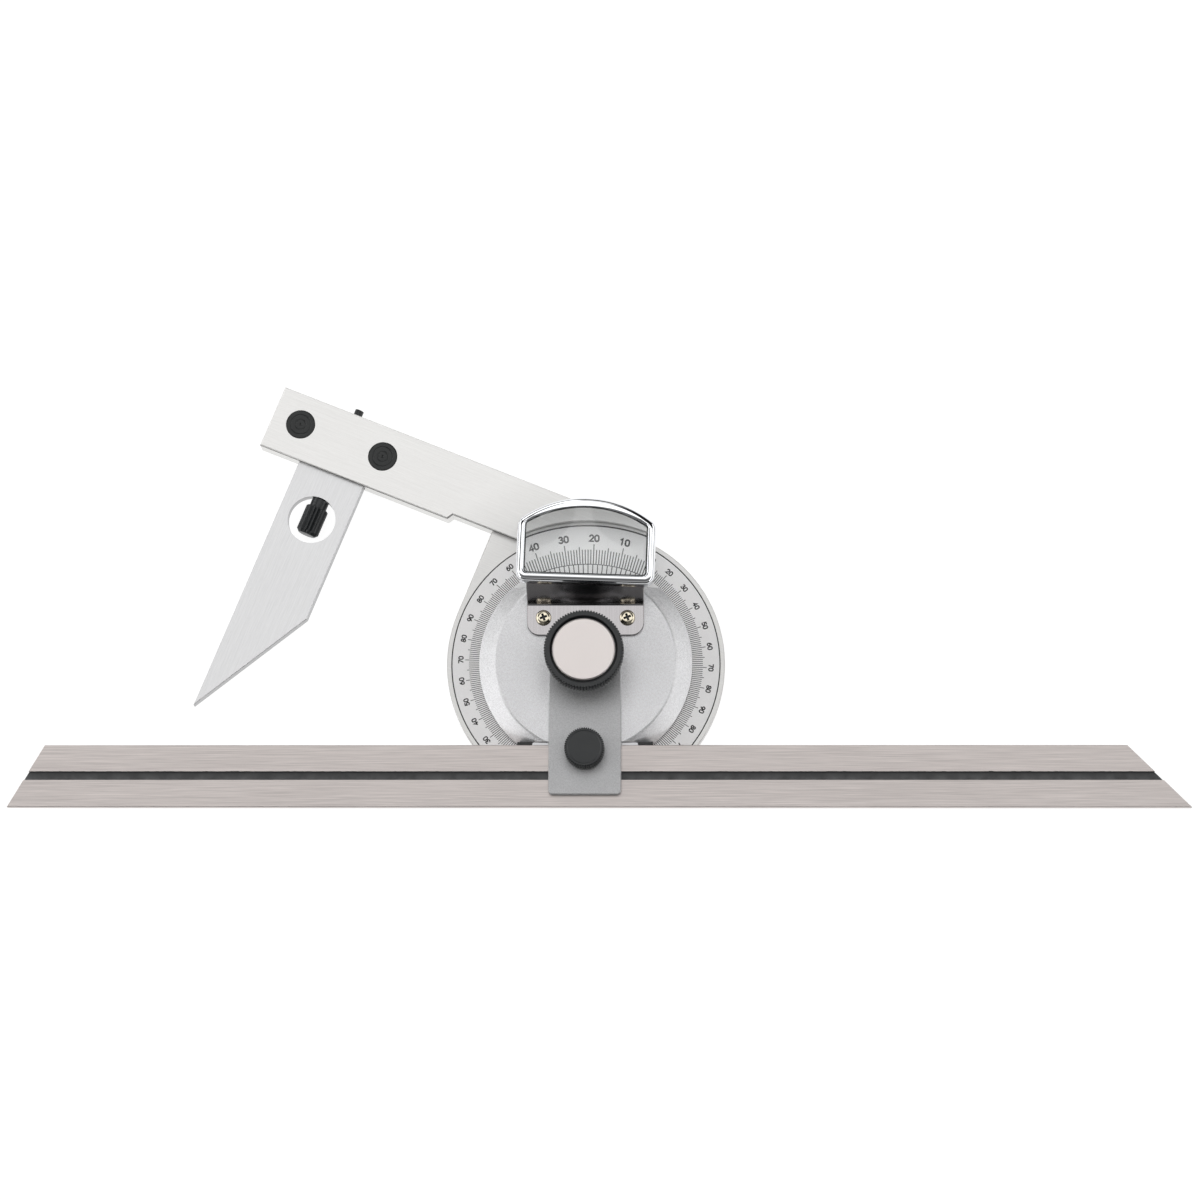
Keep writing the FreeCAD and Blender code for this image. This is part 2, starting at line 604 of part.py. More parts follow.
def make_acute_blade():
    """Acute-angle blade with its finger hole and the tongue that enters the bar."""
    body = new_body("acute_blade")
    sketch = new_sketch(body, "Outline", "acute_floor")
    corners = [
        ("-acute_half", "-acute_reach"),
        ("acute_half", "-acute_short"),
        ("acute_half", "shoulder_depth"),
        ("tongue_half", "shoulder_depth"),
        ("tongue_half", "tongue_depth"),
        ("-tongue_half", "tongue_depth"),
        ("-tongue_half", "shoulder_depth"),
        ("-acute_half", "shoulder_depth"),
    ]
    draw_outline(sketch, corners)
    pad(body, sketch, "acute_depth")
    top = size("acute_floor") + size("acute_depth")
    shoulder = 0.0

    def on_open_edge(edge):
        box = edge.BoundBox
        return box.ZMin > top - 1e-6 and box.YMin < shoulder - 1e-6

    dress(body, "Chamfer", "Edges", on_open_edge, "fine_break")
    sketch = new_sketch(body, "FingerHole", "bar_depth")
    draw_circle(sketch, "finger_radius", "0", "-finger_drop")
    pocket(body, sketch)
    bore_along(body, "ScrewBore", "thumb_hole", "Sizes.finger_drop + Sizes.bar_width", ("0", "-Sizes.finger_drop", "Sizes.screw_mid"))
    set_with_stock(body, "-attach_centre", "edge_near")
    return body


def make_thumb_screw():
    """Long screw that draws the acute blade into the bar, with its head in the finger hole."""
    body = new_body("thumb_screw")
    corners = [
        ("0", "thumb_end"),
        ("thumb_tip_radius", "thumb_end"),
        ("thumb_radius", "thumb_grip_foot"),
        ("thumb_radius", "collar_foot"),
        ("collar_radius", "collar_foot"),
        ("collar_radius", "collar_top"),
        ("screw_radius", "collar_top"),
        ("screw_radius", "screw_tip"),
        ("0", "screw_tip"),
    ]
    turned(body, corners)
    turn = FreeCAD.Rotation(FreeCAD.Vector(0, 0, 1), -size("set_angle"))
    upright = FreeCAD.Rotation(FreeCAD.Vector(1, 0, 0), -90)
    body.Placement = FreeCAD.Placement(FreeCAD.Vector(), turn.multiply(upright))
    body.setExpression("Placement.Base.x", "-Sizes.attach_centre * Sizes.turn_cos")
    body.setExpression("Placement.Base.y", "Sizes.attach_centre * Sizes.turn_sin")
    body.setExpression("Placement.Base.z", "Sizes.screw_mid")
    doc.recompute()
    return body


def make_hub():
    """Spindle that turns in the bush, with the flange that carries the cover."""
    body = new_body("turret_hub")
    corners = [
        ("stud_hole", "back_recess"),
        ("spindle_radius", "back_recess"),
        ("spindle_radius", "cover_floor"),
        ("hub_radius", "cover_floor"),
        ("hub_radius", "cover_ceiling"),
        ("stud_hole", "cover_ceiling"),
    ]
    turned(body, corners)
    sketch = new_sketch(body, "DowelHole", "cover_ceiling")
    draw_circle(sketch, "dowel_hole", "0", "-dowel_offset")
    pocket(body, sketch)
    return body


def make_vernier():
    """Vernier plate on the spindle, under the cover."""
    return ring("vernier_plate", "vernier_radius", "vernier_hole", "vernier_depth", "vernier_floor")


def make_cover():
    """Bevelled turret cover with two flats, hollow underneath."""
    body = new_body("turret_cover")
    corners = [
        ("0", "cover_floor"),
        ("cover_radius", "cover_floor"),
        ("cover_radius", "cover_bevel_foot"),
        ("cover_break_radius", "cover_break_foot"),
        ("cover_face_radius", "cover_top"),
        ("0", "cover_top"),
    ]
    turned(body, corners)
    span = "2 * Sizes.cover_radius"
    trim = "Sizes.cover_radius"
    box_cut(body, "FlatHigh", (span, trim, span), ("-Sizes.cover_radius", "Sizes.cover_flat_high", "0"))
    box_cut(body, "FlatLow", (span, trim, span), ("-Sizes.cover_radius", "-Sizes.cover_flat_low - Sizes.cover_radius", "0"))
    sketch = new_sketch(body, "Cavity", "cover_ceiling")
    corners = [
        ("-cavity_low_x", "-cavity_low"),
        ("cavity_low_x", "-cavity_low"),
        ("cavity_high_x", "cavity_high"),
        ("-cavity_high_x", "cavity_high"),
    ]
    draw_outline(sketch, corners, {1: ("cavity_radius", 1), 3: ("cavity_radius", 1)})
    pocket(body, sketch)
    sketch = new_sketch(body, "Holes", "cover_top")
    draw_circle(sketch, "stud_hole")
    draw_circle(sketch, "dowel_hole", "0", "-dowel_offset")
    draw_circle(sketch, "bracket_hole", "bracket_screw_x", "bracket_screw_y")
    draw_circle(sketch, "bracket_hole", "-bracket_screw_x", "bracket_screw_y")
    pocket(body, sketch)
    sides = (
        "2 * (Sizes.seat_half + Sizes.thrust_gap)",
        "Sizes.cover_flat_low + Sizes.cover_wall / 2 - Sizes.seat_inside + Sizes.thrust_gap",
        "Sizes.seat_depth + Sizes.thrust_gap",
    )
    corner = ("-Sizes.seat_half - Sizes.thrust_gap", "-Sizes.cover_flat_low - Sizes.cover_wall / 2", "Sizes.cover_floor")
    box_cut(body, "SeatNotch", sides, corner)
    return body


def make_seat():
    """Pad under the blade, with the rib that the blade's back edge runs along."""
    body = new_body("blade_seat")
    sketch = new_sketch(body, "Pad", "cover_floor")
    corners = [
        ("-seat_half", "-seat_outside"),
        ("seat_half", "-seat_outside"),
        ("seat_half", "-seat_inside"),
        ("-seat_half", "-seat_inside"),
    ]
    draw_outline(sketch, corners)
    pad(body, sketch, "seat_depth")
    outer = -size("seat_outside")
    dress(body, "Fillet", "Corners", lambda edge: edge.BoundBox.YMax < outer + 1e-6 and edge.BoundBox.XLength < 1e-6, "seat_corner")
    sketch = new_sketch(body, "Fence", "seat_top")
    corners = [
        ("-seat_half", "-fence_outside"),
        ("seat_half", "-fence_outside"),
        ("seat_half", "-fence_inside"),
        ("-seat_half", "-fence_inside"),
    ]
    draw_outline(sketch, corners)
    pad(body, sketch, "fence_rise")
    top = size("seat_top")
    inner = -size("fence_inside")

    def on_fence_end(edge):
        box = edge.BoundBox
        return box.ZMin > top - 1e-6 and box.ZLength > 1e-6 and box.YMin > inner - 1e-6

    dress(body, "Fillet", "FenceEnds", on_fence_end, "fence_round")
    return body


def make_clamp_plate():
    """Strip over the turret and the blade that both knobs press on."""
    body = new_body("clamp_plate")
    sketch = new_sketch(body, "Outline", "cover_top")
    corners = [
        ("-plate_half", "-plate_low"),
        ("plate_half", "-plate_low"),
        ("plate_half", "plate_high"),
        ("-plate_half", "plate_high"),
    ]
    draw_outline(sketch, corners)
    pad(body, sketch, "plate_wall")
    dress(body, "Fillet", "Corners", lambda edge: edge.BoundBox.ZLength > 1e-6, "plate_corner")
    top = size("plate_top")
    dress(body, "Chamfer", "Edges", lambda edge: edge.BoundBox.ZMin > top - 1e-6, "edge_break")
    sketch = new_sketch(body, "Holes", "plate_top")
    draw_circle(sketch, "stud_hole")
    draw_circle(sketch, "lock_screw_hole", "0", "-lock_line")
    pocket(body, sketch)
    sketch = new_sketch(body, "DowelHole", "dowel_top")
    draw_circle(sketch, "dowel_hole", "0", "-dowel_offset")
    pocket(body, sketch)
    return body


def make_key():
    """Key under the clamp plate that runs in the blade's groove."""
    key = doc.addObject("Part::Box", "groove_key")
    key.Label = "groove_key"
    key.setExpression("Length", "2 * Sizes.plate_half")
    key.setExpression("Width", "Sizes.key_width")
    key.setExpression("Height", "Sizes.key_height")
    key.setExpression("Placement.Base.x", "-Sizes.plate_half")
    key.setExpression("Placement.Base.y", "-Sizes.groove_line - Sizes.key_width / 2")
    key.setExpression("Placement.Base.z", "Sizes.cover_top - Sizes.key_height")
    doc.recompute()
    return key


def make_stud():
    """Clamp stud: a flat head let into the back and a threaded shank up to the knob."""
    body = new_body("clamp_stud")
    corners = [
        ("0", "0"),
        ("head_radius", "0"),
        ("head_radius", "head_depth"),
        ("stud_radius", "head_depth"),
        ("stud_radius", "stud_top"),
        ("0", "stud_top"),
    ]
    turned(body, corners)
    sketch = new_sketch(body, "SpannerHoles", "spanner_depth")
    draw_circle(sketch, "spanner_radius", "spanner_offset", "0")
    draw_circle(sketch, "spanner_radius", "-spanner_offset", "0")
    pocket(body, sketch)
    return body


def make_washer():
    """Thrust washer between the clamp plate and the dial clamp knob."""
    return ring("thrust_washer", "washer_radius", "stud_hole", "washer_wall", "plate_top")


def make_dowel():
    """Dowel that turns the clamp plate and the cover with the hub."""
    pin = doc.addObject("Part::Cylinder", "plate_dowel")
    pin.Label = "plate_dowel"
    pin.setExpression("Radius", "Sizes.dowel_radius")
    pin.setExpression("Height", "Sizes.dowel_top - Sizes.cover_floor")
    pin.setExpression("Placement.Base.y", "-Sizes.dowel_offset")
    pin.setExpression("Placement.Base.z", "Sizes.cover_floor")
    doc.recompute()
    return pin


def make_blade():
    """Long blade with its two angled ends and the groove along its face."""
    body = new_body("long_blade")
    sketch = new_sketch(body, "Outline", "blade_floor")
    corners = [
        ("-blade_left", "-blade_front"),
        ("blade_right", "-blade_front"),
        ("blade_right_back", "-blade_back"),
        ("-blade_left_back", "-blade_back"),
    ]
    draw_outline(sketch, corners)
    pad(body, sketch, "blade_depth")
    top = size("blade_floor") + size("blade_depth")
    dress(body, "Chamfer", "Edges", lambda edge: edge.BoundBox.ZMin > top - 1e-6, "fine_break")
    sides = ("Sizes.blade_length", "Sizes.groove_width", "Sizes.blade_depth")
    corner = (
        "-Sizes.blade_left",
        "-Sizes.groove_line - Sizes.groove_width / 2",
        "Sizes.blade_floor + Sizes.blade_depth - Sizes.groove_depth",
    )
    box_cut(body, "Groove", sides, corner)
    return body


def make_knob():
    """Dial clamp knob: a neck and a wide gripping ring with a recess for its cap."""
    body = new_body("dial_clamp_knob")
    corners = [
        ("insert_hole", "knob_floor"),
        ("knob_neck", "knob_floor"),
        ("knob_neck", "knob_ring_foot"),
        ("knob_radius", "knob_ring_foot"),
        ("knob_radius", "knob_ring_edge"),
        ("knob_rim", "knob_top"),
        ("cap_recess", "knob_top"),
        ("cap_recess", "cap_floor"),
        ("insert_hole", "cap_floor"),
    ]
    turned(body, corners)
    return body


def make_insert():
    """Threaded insert moulded into the knob."""
    return ring("knob_insert", "insert_radius", "stud_hole", "insert_height", "knob_floor")


def make_cap():
    """Bevelled cap let into the top of the knob."""
    body = new_body("knob_cap")
    turned(body, [("0", "cap_floor"), ("cap_radius", "cap_floor"), ("cap_radius", "knob_top"), ("0", "knob_top")])
    top = size("knob_top")
    dress(body, "Chamfer", "Bevel", lambda edge: edge.BoundBox.ZMin > top - 1e-6, "cap_bevel")
    return body


def make_lock_knob():
    """Small knob of the blade clamp."""
    body = new_body("blade_clamp_knob")
    corners = [
        ("lock_screw_socket", "lock_floor"),
        ("lock_radius", "lock_floor"),
        ("lock_radius", "lock_grip_top"),
        ("lock_rim", "lock_top"),
        ("0", "lock_top"),
        ("0", "lock_screw_top"),
        ("lock_screw_socket", "lock_screw_top"),
    ]
    turned(body, corners)
    body.setExpression("Placement.Base.y", "-Sizes.lock_line")
    doc.recompute()
    return body


def make_lock_screw():
    """Screw of the blade clamp, whose end stands just off the blade."""
    screw = doc.addObject("Part::Cylinder", "blade_clamp_screw")
    screw.Label = "blade_clamp_screw"
    screw.setExpression("Radius", "Sizes.lock_screw_radius")
    screw.setExpression("Height", "Sizes.lock_screw_top - Sizes.cover_top")
    screw.setExpression("Placement.Base.y", "-Sizes.lock_line")
    screw.setExpression("Placement.Base.z", "Sizes.cover_top")
    doc.recompute()
    return screw


def make_bracket():
    """Bent sheet that carries the magnifier: a flange on the cover and a wall that leans outward."""
    body = new_body("magnifier_bracket")
    sketch = new_sketch(body, "Section", role="YZ_Plane")
    corners = [
        ("bracket_low", "cover_top"),
        ("bracket_heel", "cover_top"),
        ("wall_outside", "frame_lift"),
        ("wall_high", "frame_lift"),
        ("bracket_bend", "bracket_top"),
        ("bracket_low", "bracket_top"),
    ]
    draw_outline(sketch, corners)
    feature = body.newObject("PartDesign::Pad", "SectionPad")
    feature.Profile = sketch
    feature.SideType = "Symmetric"
    feature.setExpression("Length", "2 * Sizes.bracket_half")
    doc.recompute()
    low = size("bracket_low")

    def flange_corner(edge):
        box = edge.BoundBox
        return box.YMax < low + 1e-6 and box.XLength < 1e-6 and box.ZLength > 1e-6

    dress(body, "Fillet", "FlangeCorners", flange_corner, "bracket_corner")
    for name, line, level, radius in (("BendInside", "bracket_bend", "bracket_top", "bend_radius"),
                                      ("BendOutside", "bracket_heel", "cover_top", "bend_outside")):
        place = (size(line), size(level))

        def on_bend(edge):
            box = edge.BoundBox
            return abs(box.YMin - place[0]) < 1e-4 and abs(box.ZMin - place[1]) < 1e-4 and box.XLength > 1.0

        dress(body, "Fillet", name, on_bend, radius)
    top = size("bracket_top")
    bend = size("bracket_bend") - size("bend_radius")

    def on_flange_rim(edge):
        box = edge.BoundBox
        return box.ZMin > top - 1e-6 and box.ZLength < 1e-6 and box.YMin < bend

    dress(body, "Chamfer", "FlangeRim", on_flange_rim, "fine_break")
    sketch = new_sketch(body, "ScrewHoles", "bracket_top")
    draw_circle(sketch, "bracket_hole", "bracket_screw_x", "bracket_screw_y")
    draw_circle(sketch, "bracket_hole", "-bracket_screw_x", "bracket_screw_y")
    pocket(body, sketch)
    return body


def make_bracket_screw(label, across):
    """Pan-head screw that holds the bracket on the cover."""
    body = new_body(label)
    corners = [
        ("0", "cover_ceiling"),
        ("bracket_screw_radius", "cover_ceiling"),
        ("bracket_screw_radius", "bracket_top"),
        ("bracket_head_radius", "bracket_top"),
        ("bracket_head_radius", "bracket_head_edge"),
        ("bracket_head_top_radius", "bracket_head_top"),
        ("0", "bracket_head_top"),
    ]
    turned(body, corners)
    body.setExpression("Placement.Base.x", cell(across))
    body.setExpression("Placement.Base.y", "Sizes.bracket_screw_y")
    doc.recompute()
    return body


def set_on_frame(piece):
    """Turn and place a piece of the magnifier about the middle of its lower edge."""
    piece.Placement = FreeCAD.Placement(FreeCAD.Vector(), FreeCAD.Rotation(FreeCAD.Vector(0, 0, 1), 1))
    piece.setExpression("Placement.Rotation.Angle", "-Sizes.frame_turn")
    piece.setExpression("Placement.Base.y", "Sizes.frame_low")
    piece.setExpression("Placement.Base.z", "Sizes.frame_lift")
    doc.recompute()


def make_frame():
    """Magnifier frame: an arched bezel round the lens window."""
    body = new_body("magnifier_frame")
    sketch = new_sketch(body, "Outline")
    corners = [
        ("-frame_half", "0"),
        ("frame_half", "0"),
        ("frame_half", "frame_shoulder"),
        ("-frame_half", "frame_shoulder"),
    ]
    draw_outline(sketch, corners, {2: ("frame_arch", 1)})
    pad(body, sketch, "frame_depth")
    dress(body, "Fillet", "Corners", lambda edge: edge.BoundBox.XLength < 1e-6 and edge.BoundBox.YLength < 1e-6, "frame_corner")
    top = size("frame_depth")

    dress(body, "Chamfer", "Bezel", lambda edge: edge.BoundBox.ZMin > top - 1e-6, "frame_bevel")
    dress(body, "Chamfer", "LowerEdge", lambda edge: edge.BoundBox.ZMax < 1e-6, "frame_break")
    sketch = new_sketch(body, "Window", "frame_depth")
    corners = [
        ("-window_half", "rail_low"),
        ("window_half", "rail_low"),
        ("window_half", "window_top"),
        ("-window_half", "window_top"),
    ]
    draw_outline(sketch, corners, {2: ("window_arch", 1)})
    pocket(body, sketch)
    half = size("window_half")

    def window_corner(edge):
        box = edge.BoundBox
        return box.XLength < 1e-6 and box.YLength < 1e-6 and abs(abs(box.XMin) - half) < 1e-6

    dress(body, "Fillet", "WindowCorners", window_corner, "window_corner")

    def on_window_rim(edge):
        box = edge.BoundBox
        inside = max(abs(box.XMin), abs(box.XMax)) < half + 1e-6
        return inside and box.ZMin > top - 1e-6 and box.YMax < size("window_top") + size("window_rise") + 0.1

    dress(body, "Chamfer", "WindowRim", on_window_rim, "window_break")
    set_on_frame(body)
    return body


def make_lens():
    """Magnifying lens, domed above and nearly flat below, cut to the shape of the window."""
    body = new_body("magnifier_lens")
    sketch = new_sketch(body, "Outline", "-lens_below")
    corners = [
        ("-lens_half", "lens_low"),
        ("lens_half", "lens_low"),
        ("lens_half", "lens_shoulder"),
        ("-lens_half", "lens_shoulder"),
    ]
    draw_outline(sketch, corners, {2: ("lens_arch", 1)})
    pad(body, sketch, "lens_block")
    half = size("lens_half")

    def lens_corner(edge):
        box = edge.BoundBox
        return box.XLength < 1e-6 and box.YLength < 1e-6 and abs(abs(box.XMin) - half) < 1e-6

    dress(body, "Fillet", "Corners", lens_corner, "lens_corner")
    set_on_frame(body)
    ball_top = doc.addObject("Part::Sphere", "lens_upper_face")
    ball_top.setExpression("Radius", "Sizes.lens_top_curve")
    ball_top.setExpression("Placement.Base.z", "Sizes.frame_lift + Sizes.lens_crown - Sizes.lens_top_curve")
    ball_low = doc.addObject("Part::Sphere", "lens_lower_face")
    ball_low.setExpression("Radius", "Sizes.lens_low_curve")
    ball_low.setExpression("Placement.Base.z", "Sizes.frame_lift - Sizes.lens_below + Sizes.lens_low_curve")
    for ball in (ball_top, ball_low):
        ball.Placement = FreeCAD.Placement(FreeCAD.Vector(), FreeCAD.Rotation(FreeCAD.Vector(1, 0, 0), 90))
        ball.setExpression("Placement.Base.x", "Sizes.lens_summit_x")
        ball.setExpression("Placement.Base.y", "Sizes.frame_low + Sizes.lens_summit_y")
    faces = doc.addObject("Part::Common", "lens_faces")
    faces.Base = ball_top
    faces.Tool = ball_low
    lens = doc.addObject("Part::Common", "lens_cut")
    lens.Base = body
    lens.Tool = faces
    body.Label = "lens_block"
    lens.Label = "magnifier_lens"
    doc.recompute()
    return lens


def check_document():
    """Stop if any object failed to build."""
    for item in doc.Objects:
        if "Invalid" in item.State or "Error" in item.State:
            raise RuntimeError(f"{item.Label} failed: {item.State}")


def write_parts(pieces):
    """Write each sub-part to its own file."""
    for piece in pieces:
        if piece.Shape.isNull() or not piece.Shape.isValid():
            raise RuntimeError(f"{piece.Label} has no valid shape")
    os.makedirs("parts", exist_ok=True)
    for piece in pieces:
        piece.Shape.exportStep(f"parts/{piece.Label}.step")
        print(f"{piece.Label}: {len(piece.Shape.Solids)} solid, {piece.Shape.Volume:.1f} mm3")


fill_sheet()
PIECES = [
    make_stock(),
    make_dial(),
    make_bush(),
    make_pin("locating_pin_outer", "-pin_outer"),
    make_pin("locating_pin_inner", "-pin_inner"),
    make_acute_blade(),
    make_thumb_screw(),
    make_hub(),
    make_vernier(),
    make_cover(),
    make_seat(),
    make_clamp_plate(),
    make_key(),
    make_stud(),
    make_washer(),
    make_dowel(),
    make_blade(),
    make_knob(),
    make_insert(),
    make_cap(),
    make_lock_knob(),
    make_lock_screw(),
    make_bracket(),
    make_frame(),
    make_lens(),
    make_bracket_screw("bracket_screw_left", "-bracket_screw_x"),
    make_bracket_screw("bracket_screw_right", "bracket_screw_x"),
]
check_document()
write_parts(PIECES)
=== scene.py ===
import json
from math import atan2, cos, hypot, pi, radians, sin, sqrt

import bmesh
import bpy
from bpy.props import FloatProperty, FloatVectorProperty, IntProperty, PointerProperty
from mathutils import Matrix, Vector


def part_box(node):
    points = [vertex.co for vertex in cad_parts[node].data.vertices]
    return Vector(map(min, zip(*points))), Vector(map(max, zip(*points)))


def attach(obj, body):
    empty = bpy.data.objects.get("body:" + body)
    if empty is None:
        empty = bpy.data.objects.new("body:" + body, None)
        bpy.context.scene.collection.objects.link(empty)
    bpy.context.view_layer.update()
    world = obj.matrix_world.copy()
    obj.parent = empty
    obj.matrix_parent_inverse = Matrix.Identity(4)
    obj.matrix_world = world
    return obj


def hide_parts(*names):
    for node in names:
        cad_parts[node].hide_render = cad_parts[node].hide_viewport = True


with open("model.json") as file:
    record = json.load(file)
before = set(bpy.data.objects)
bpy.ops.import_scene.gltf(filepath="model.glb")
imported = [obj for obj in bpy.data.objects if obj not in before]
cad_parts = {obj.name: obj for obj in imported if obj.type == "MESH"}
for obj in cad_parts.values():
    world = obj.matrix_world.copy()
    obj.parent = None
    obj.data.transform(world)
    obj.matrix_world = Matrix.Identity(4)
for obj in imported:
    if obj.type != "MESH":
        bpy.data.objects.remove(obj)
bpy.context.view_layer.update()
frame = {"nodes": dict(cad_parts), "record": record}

bl_info = {
    "name": "Bevel Protractor Dressing",
    "version": (1, 0, 0),
    "blender": (4, 5, 0),
    "location": "View3D > Sidebar > Protractor",
    "description": "Marks, knobs, magnifier, finishes and stage for the packed bevel protractor",
    "category": "Object",
}

MM = 0.001
SET_ANGLE = radians(21.9)
MARK_LIFT = 0.000008
# Half width, foot, shoulder, rise of the arch and corner radius, in millimetres
BEZEL_OUTLINE = (17.65, 0.0, 15.85, 6.4, 2.6)
WINDOW_OUTLINE = (15.55, 2.25, 15.2, 4.2, 1.0)
BEZEL_DEPTH = 4.0
MAGNIFIER = Matrix.Translation((0, 0.01795, 0.016)) @ Matrix.Rotation(radians(-2), 4, "Z")
KNOB_SHARP = 12.0
DIAL_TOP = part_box("dial_disc")[1].z
VERNIER_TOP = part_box("vernier_plate")[1].z
BAR_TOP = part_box("stock_body")[1].z


def length(name, meaning, default):
    """A size in metres with its description."""
    return FloatProperty(name=name, description=meaning, default=default, min=0.0, precision=5, unit="LENGTH")


def colour(name, meaning, default):
    """A colour with its description."""
    return FloatVectorProperty(
        name=name, description=meaning, default=default, size=3, min=0.0, max=1.0, subtype="COLOR")


def number_of(name, meaning, default, least):
    """A count of like things with its description."""
    return IntProperty(name=name, description=meaning, default=default, min=least)


class ProtractorScaleSettings(bpy.types.PropertyGroup):
    """Sizes of the graduations and numbers."""

    zero_angle: FloatProperty(
        name="Zero line", description="Where the upper zero of the dial stands",
        default=radians(68.1), subtype="ANGLE")
    tick_start: length("Tick start", "Radius at which the degree lines begin", 0.0268)
    tick_one: length("One degree", "Outer end of the one-degree lines", 0.0300)
    tick_five: length("Five degrees", "Outer end of the five-degree lines", 0.0305)
    tick_ten: length("Ten degrees", "Outer end of the ten-degree lines", 0.0310)
    tick_width: length("Line width", "Width of a graduation line", 0.00017)
    label_radius: length("Number radius", "Middle of the numbers", 0.0321)
    digit_height: length("Digit height", "Height of a digit over its strokes", 0.00140)
    digit_stroke: length("Stroke width", "Width of the engraved strokes", 0.00030)
    vernier_edge: length("Vernier edge", "Radius from which the vernier lines run inward", 0.0271)
    vernier_step: FloatProperty(
        name="Vernier step", description="Angle between two vernier lines",
        default=radians(23 / 12), subtype="ANGLE")
    vernier_count: number_of("Vernier lines", "Divisions on each side of the zero", 12, 1)


class ProtractorKnobSettings(bpy.types.PropertyGroup):
    """Fluting of the three knobs."""

    dial_flutes: number_of("Dial knob flutes", "Flutes round the dial clamp knob", 84, 8)
    dial_depth: length("Dial knob flute depth", "Depth of a flute", 0.00042)
    lock_flutes: number_of("Blade knob flutes", "Flutes round the blade clamp knob", 54, 8)
    lock_depth: length("Blade knob flute depth", "Depth of a flute", 0.00036)
    thumb_flutes: number_of("Thumb screw flutes", "Flutes round the thumb screw", 16, 6)
    thumb_depth: length("Thumb screw flute depth", "Depth of a flute", 0.00045)


class ProtractorMagnifierSettings(bpy.types.PropertyGroup):
    """Shape of the magnifier's bezel and lens."""

    bezel_round: length("Bezel rounding", "Rounding of the bezel's upper outer edge", 0.0015)
    window_round: length("Window rounding", "Rounding of the window's upper edge", 0.00060)
    upper_curve: length("Upper lens radius", "Radius of the lens's upper face", 0.0364)
    lower_curve: length("Lower lens radius", "Radius of the lens's lower face", 0.4)


class ProtractorFinishSettings(bpy.types.PropertyGroup):
    """Colours of the finishes."""

    bar_steel: colour("Bar steel", "Satin steel of the stock", (0.86, 0.853, 0.838))
    dial_chrome: colour("Dial chrome", "Satin chrome of the dial and vernier", (0.85, 0.842, 0.842))
    acute_steel: colour("Acute blade steel", "Brushed steel of the acute-angle blade", (0.745, 0.745, 0.75))
    blade_steel: colour("Long blade steel", "Warm ground steel of the long blade", (0.62, 0.57, 0.55))
    groove_dark: colour("Groove", "Dark floor of the blade's groove", (0.045, 0.046, 0.047))
    silver_coat: colour("Silver coating", "Sparkling coating of the turret cover", (0.77, 0.77, 0.78))
    # Painted shade: the clamp plate has the cover's silver coating; this darker copy paints the shade of the
    # knobs over it
    plate_coat: colour("Plate coating", "Sparkling coating of the clamp plate", (0.5, 0.502, 0.508))
    sheet_chrome: colour("Bracket plating", "Plated sheet of the magnifier's bracket", (0.41, 0.395, 0.4))
    knob_black: colour("Knob black", "Moulded black of the knobs", (0.013, 0.015, 0.0165))
    cap_metal: colour("Cap", "Satin cap of the dial clamp knob", (0.83, 0.775, 0.753))
    enamel_black: colour("Graduations", "Filling of the engraved lines and numbers", (0.014, 0.014, 0.015))


class ProtractorStageSettings(bpy.types.PropertyGroup):
    """Floor and light."""

    floor_tint: colour("Floor", "Pale floor under the tool", (0.9, 0.9, 0.9))
    key_power: FloatProperty(
        name="Lamp power", description="Power of which each soft lamp takes its share",
        default=2.7, min=0.0, subtype="POWER")
    sky_level: FloatProperty(
        name="Surrounding light", description="Strength of the light from all round", default=0.84, min=0.0)


def settings(name):
    """One of the add-on's groups of values."""
    return getattr(bpy.context.scene, f"protractor_{name}")


def put(tree, kind, inputs=None, **options):
    """Add a shader node; an input given as a socket or a node is linked, anything else is its value."""
    node = tree.nodes.new("ShaderNode" + kind)
    for key, value in options.items():
        setattr(node, key, value)
    for key, value in (inputs or {}).items():
        if isinstance(value, bpy.types.Node):
            value = value.outputs[0]
        if isinstance(value, bpy.types.NodeSocket):
            tree.links.new(value, node.inputs[key])
        else:
            node.inputs[key].default_value = value
    return node


def maths(tree, operation, first, second=0.0):
    """Result of a two-value Math node."""
    return put(tree, "Math", {0: first, 1: second}, operation=operation).outputs[0]


def split(tree, vector):
    """The three parts of a vector."""
    return put(tree, "SeparateXYZ", {"Vector": vector}).outputs


def noise(tree, place, scale, detail):
    """Cloudy noise over a place."""
    return put(tree, "TexNoise", {"Vector": place, "Scale": scale, "Detail": detail}).outputs["Fac"]


def mixture(tree, first, share, second):
    """Two values mixed by the share of the first."""
    rest = maths(tree, "MULTIPLY", second, 1.0 - share)
    return maths(tree, "ADD", maths(tree, "MULTIPLY", first, share), rest)


def spread(tree, value, low, high, start=0.0, end=1.0):
    """Map a value from the range start to end onto low to high."""
    inputs = {"Value": value, "From Min": start, "From Max": end, "To Min": low, "To Max": high}
    return put(tree, "MapRange", inputs).outputs["Result"]


def blend(tree, factor, first, second):
    """Mix two colours."""
    node = put(tree, "Mix", {"Factor": factor}, data_type="RGBA")
    for index, value in ((6, first), (7, second)):
        if isinstance(value, bpy.types.NodeSocket):
            tree.links.new(value, node.inputs[index])
        else:
            node.inputs[index].default_value = (*value, 1.0)
    return node.outputs[2]


def shade(values, factor):
    """A colour made darker or lighter."""
    return tuple(min(1.0, max(0.0, value * factor)) for value in values)


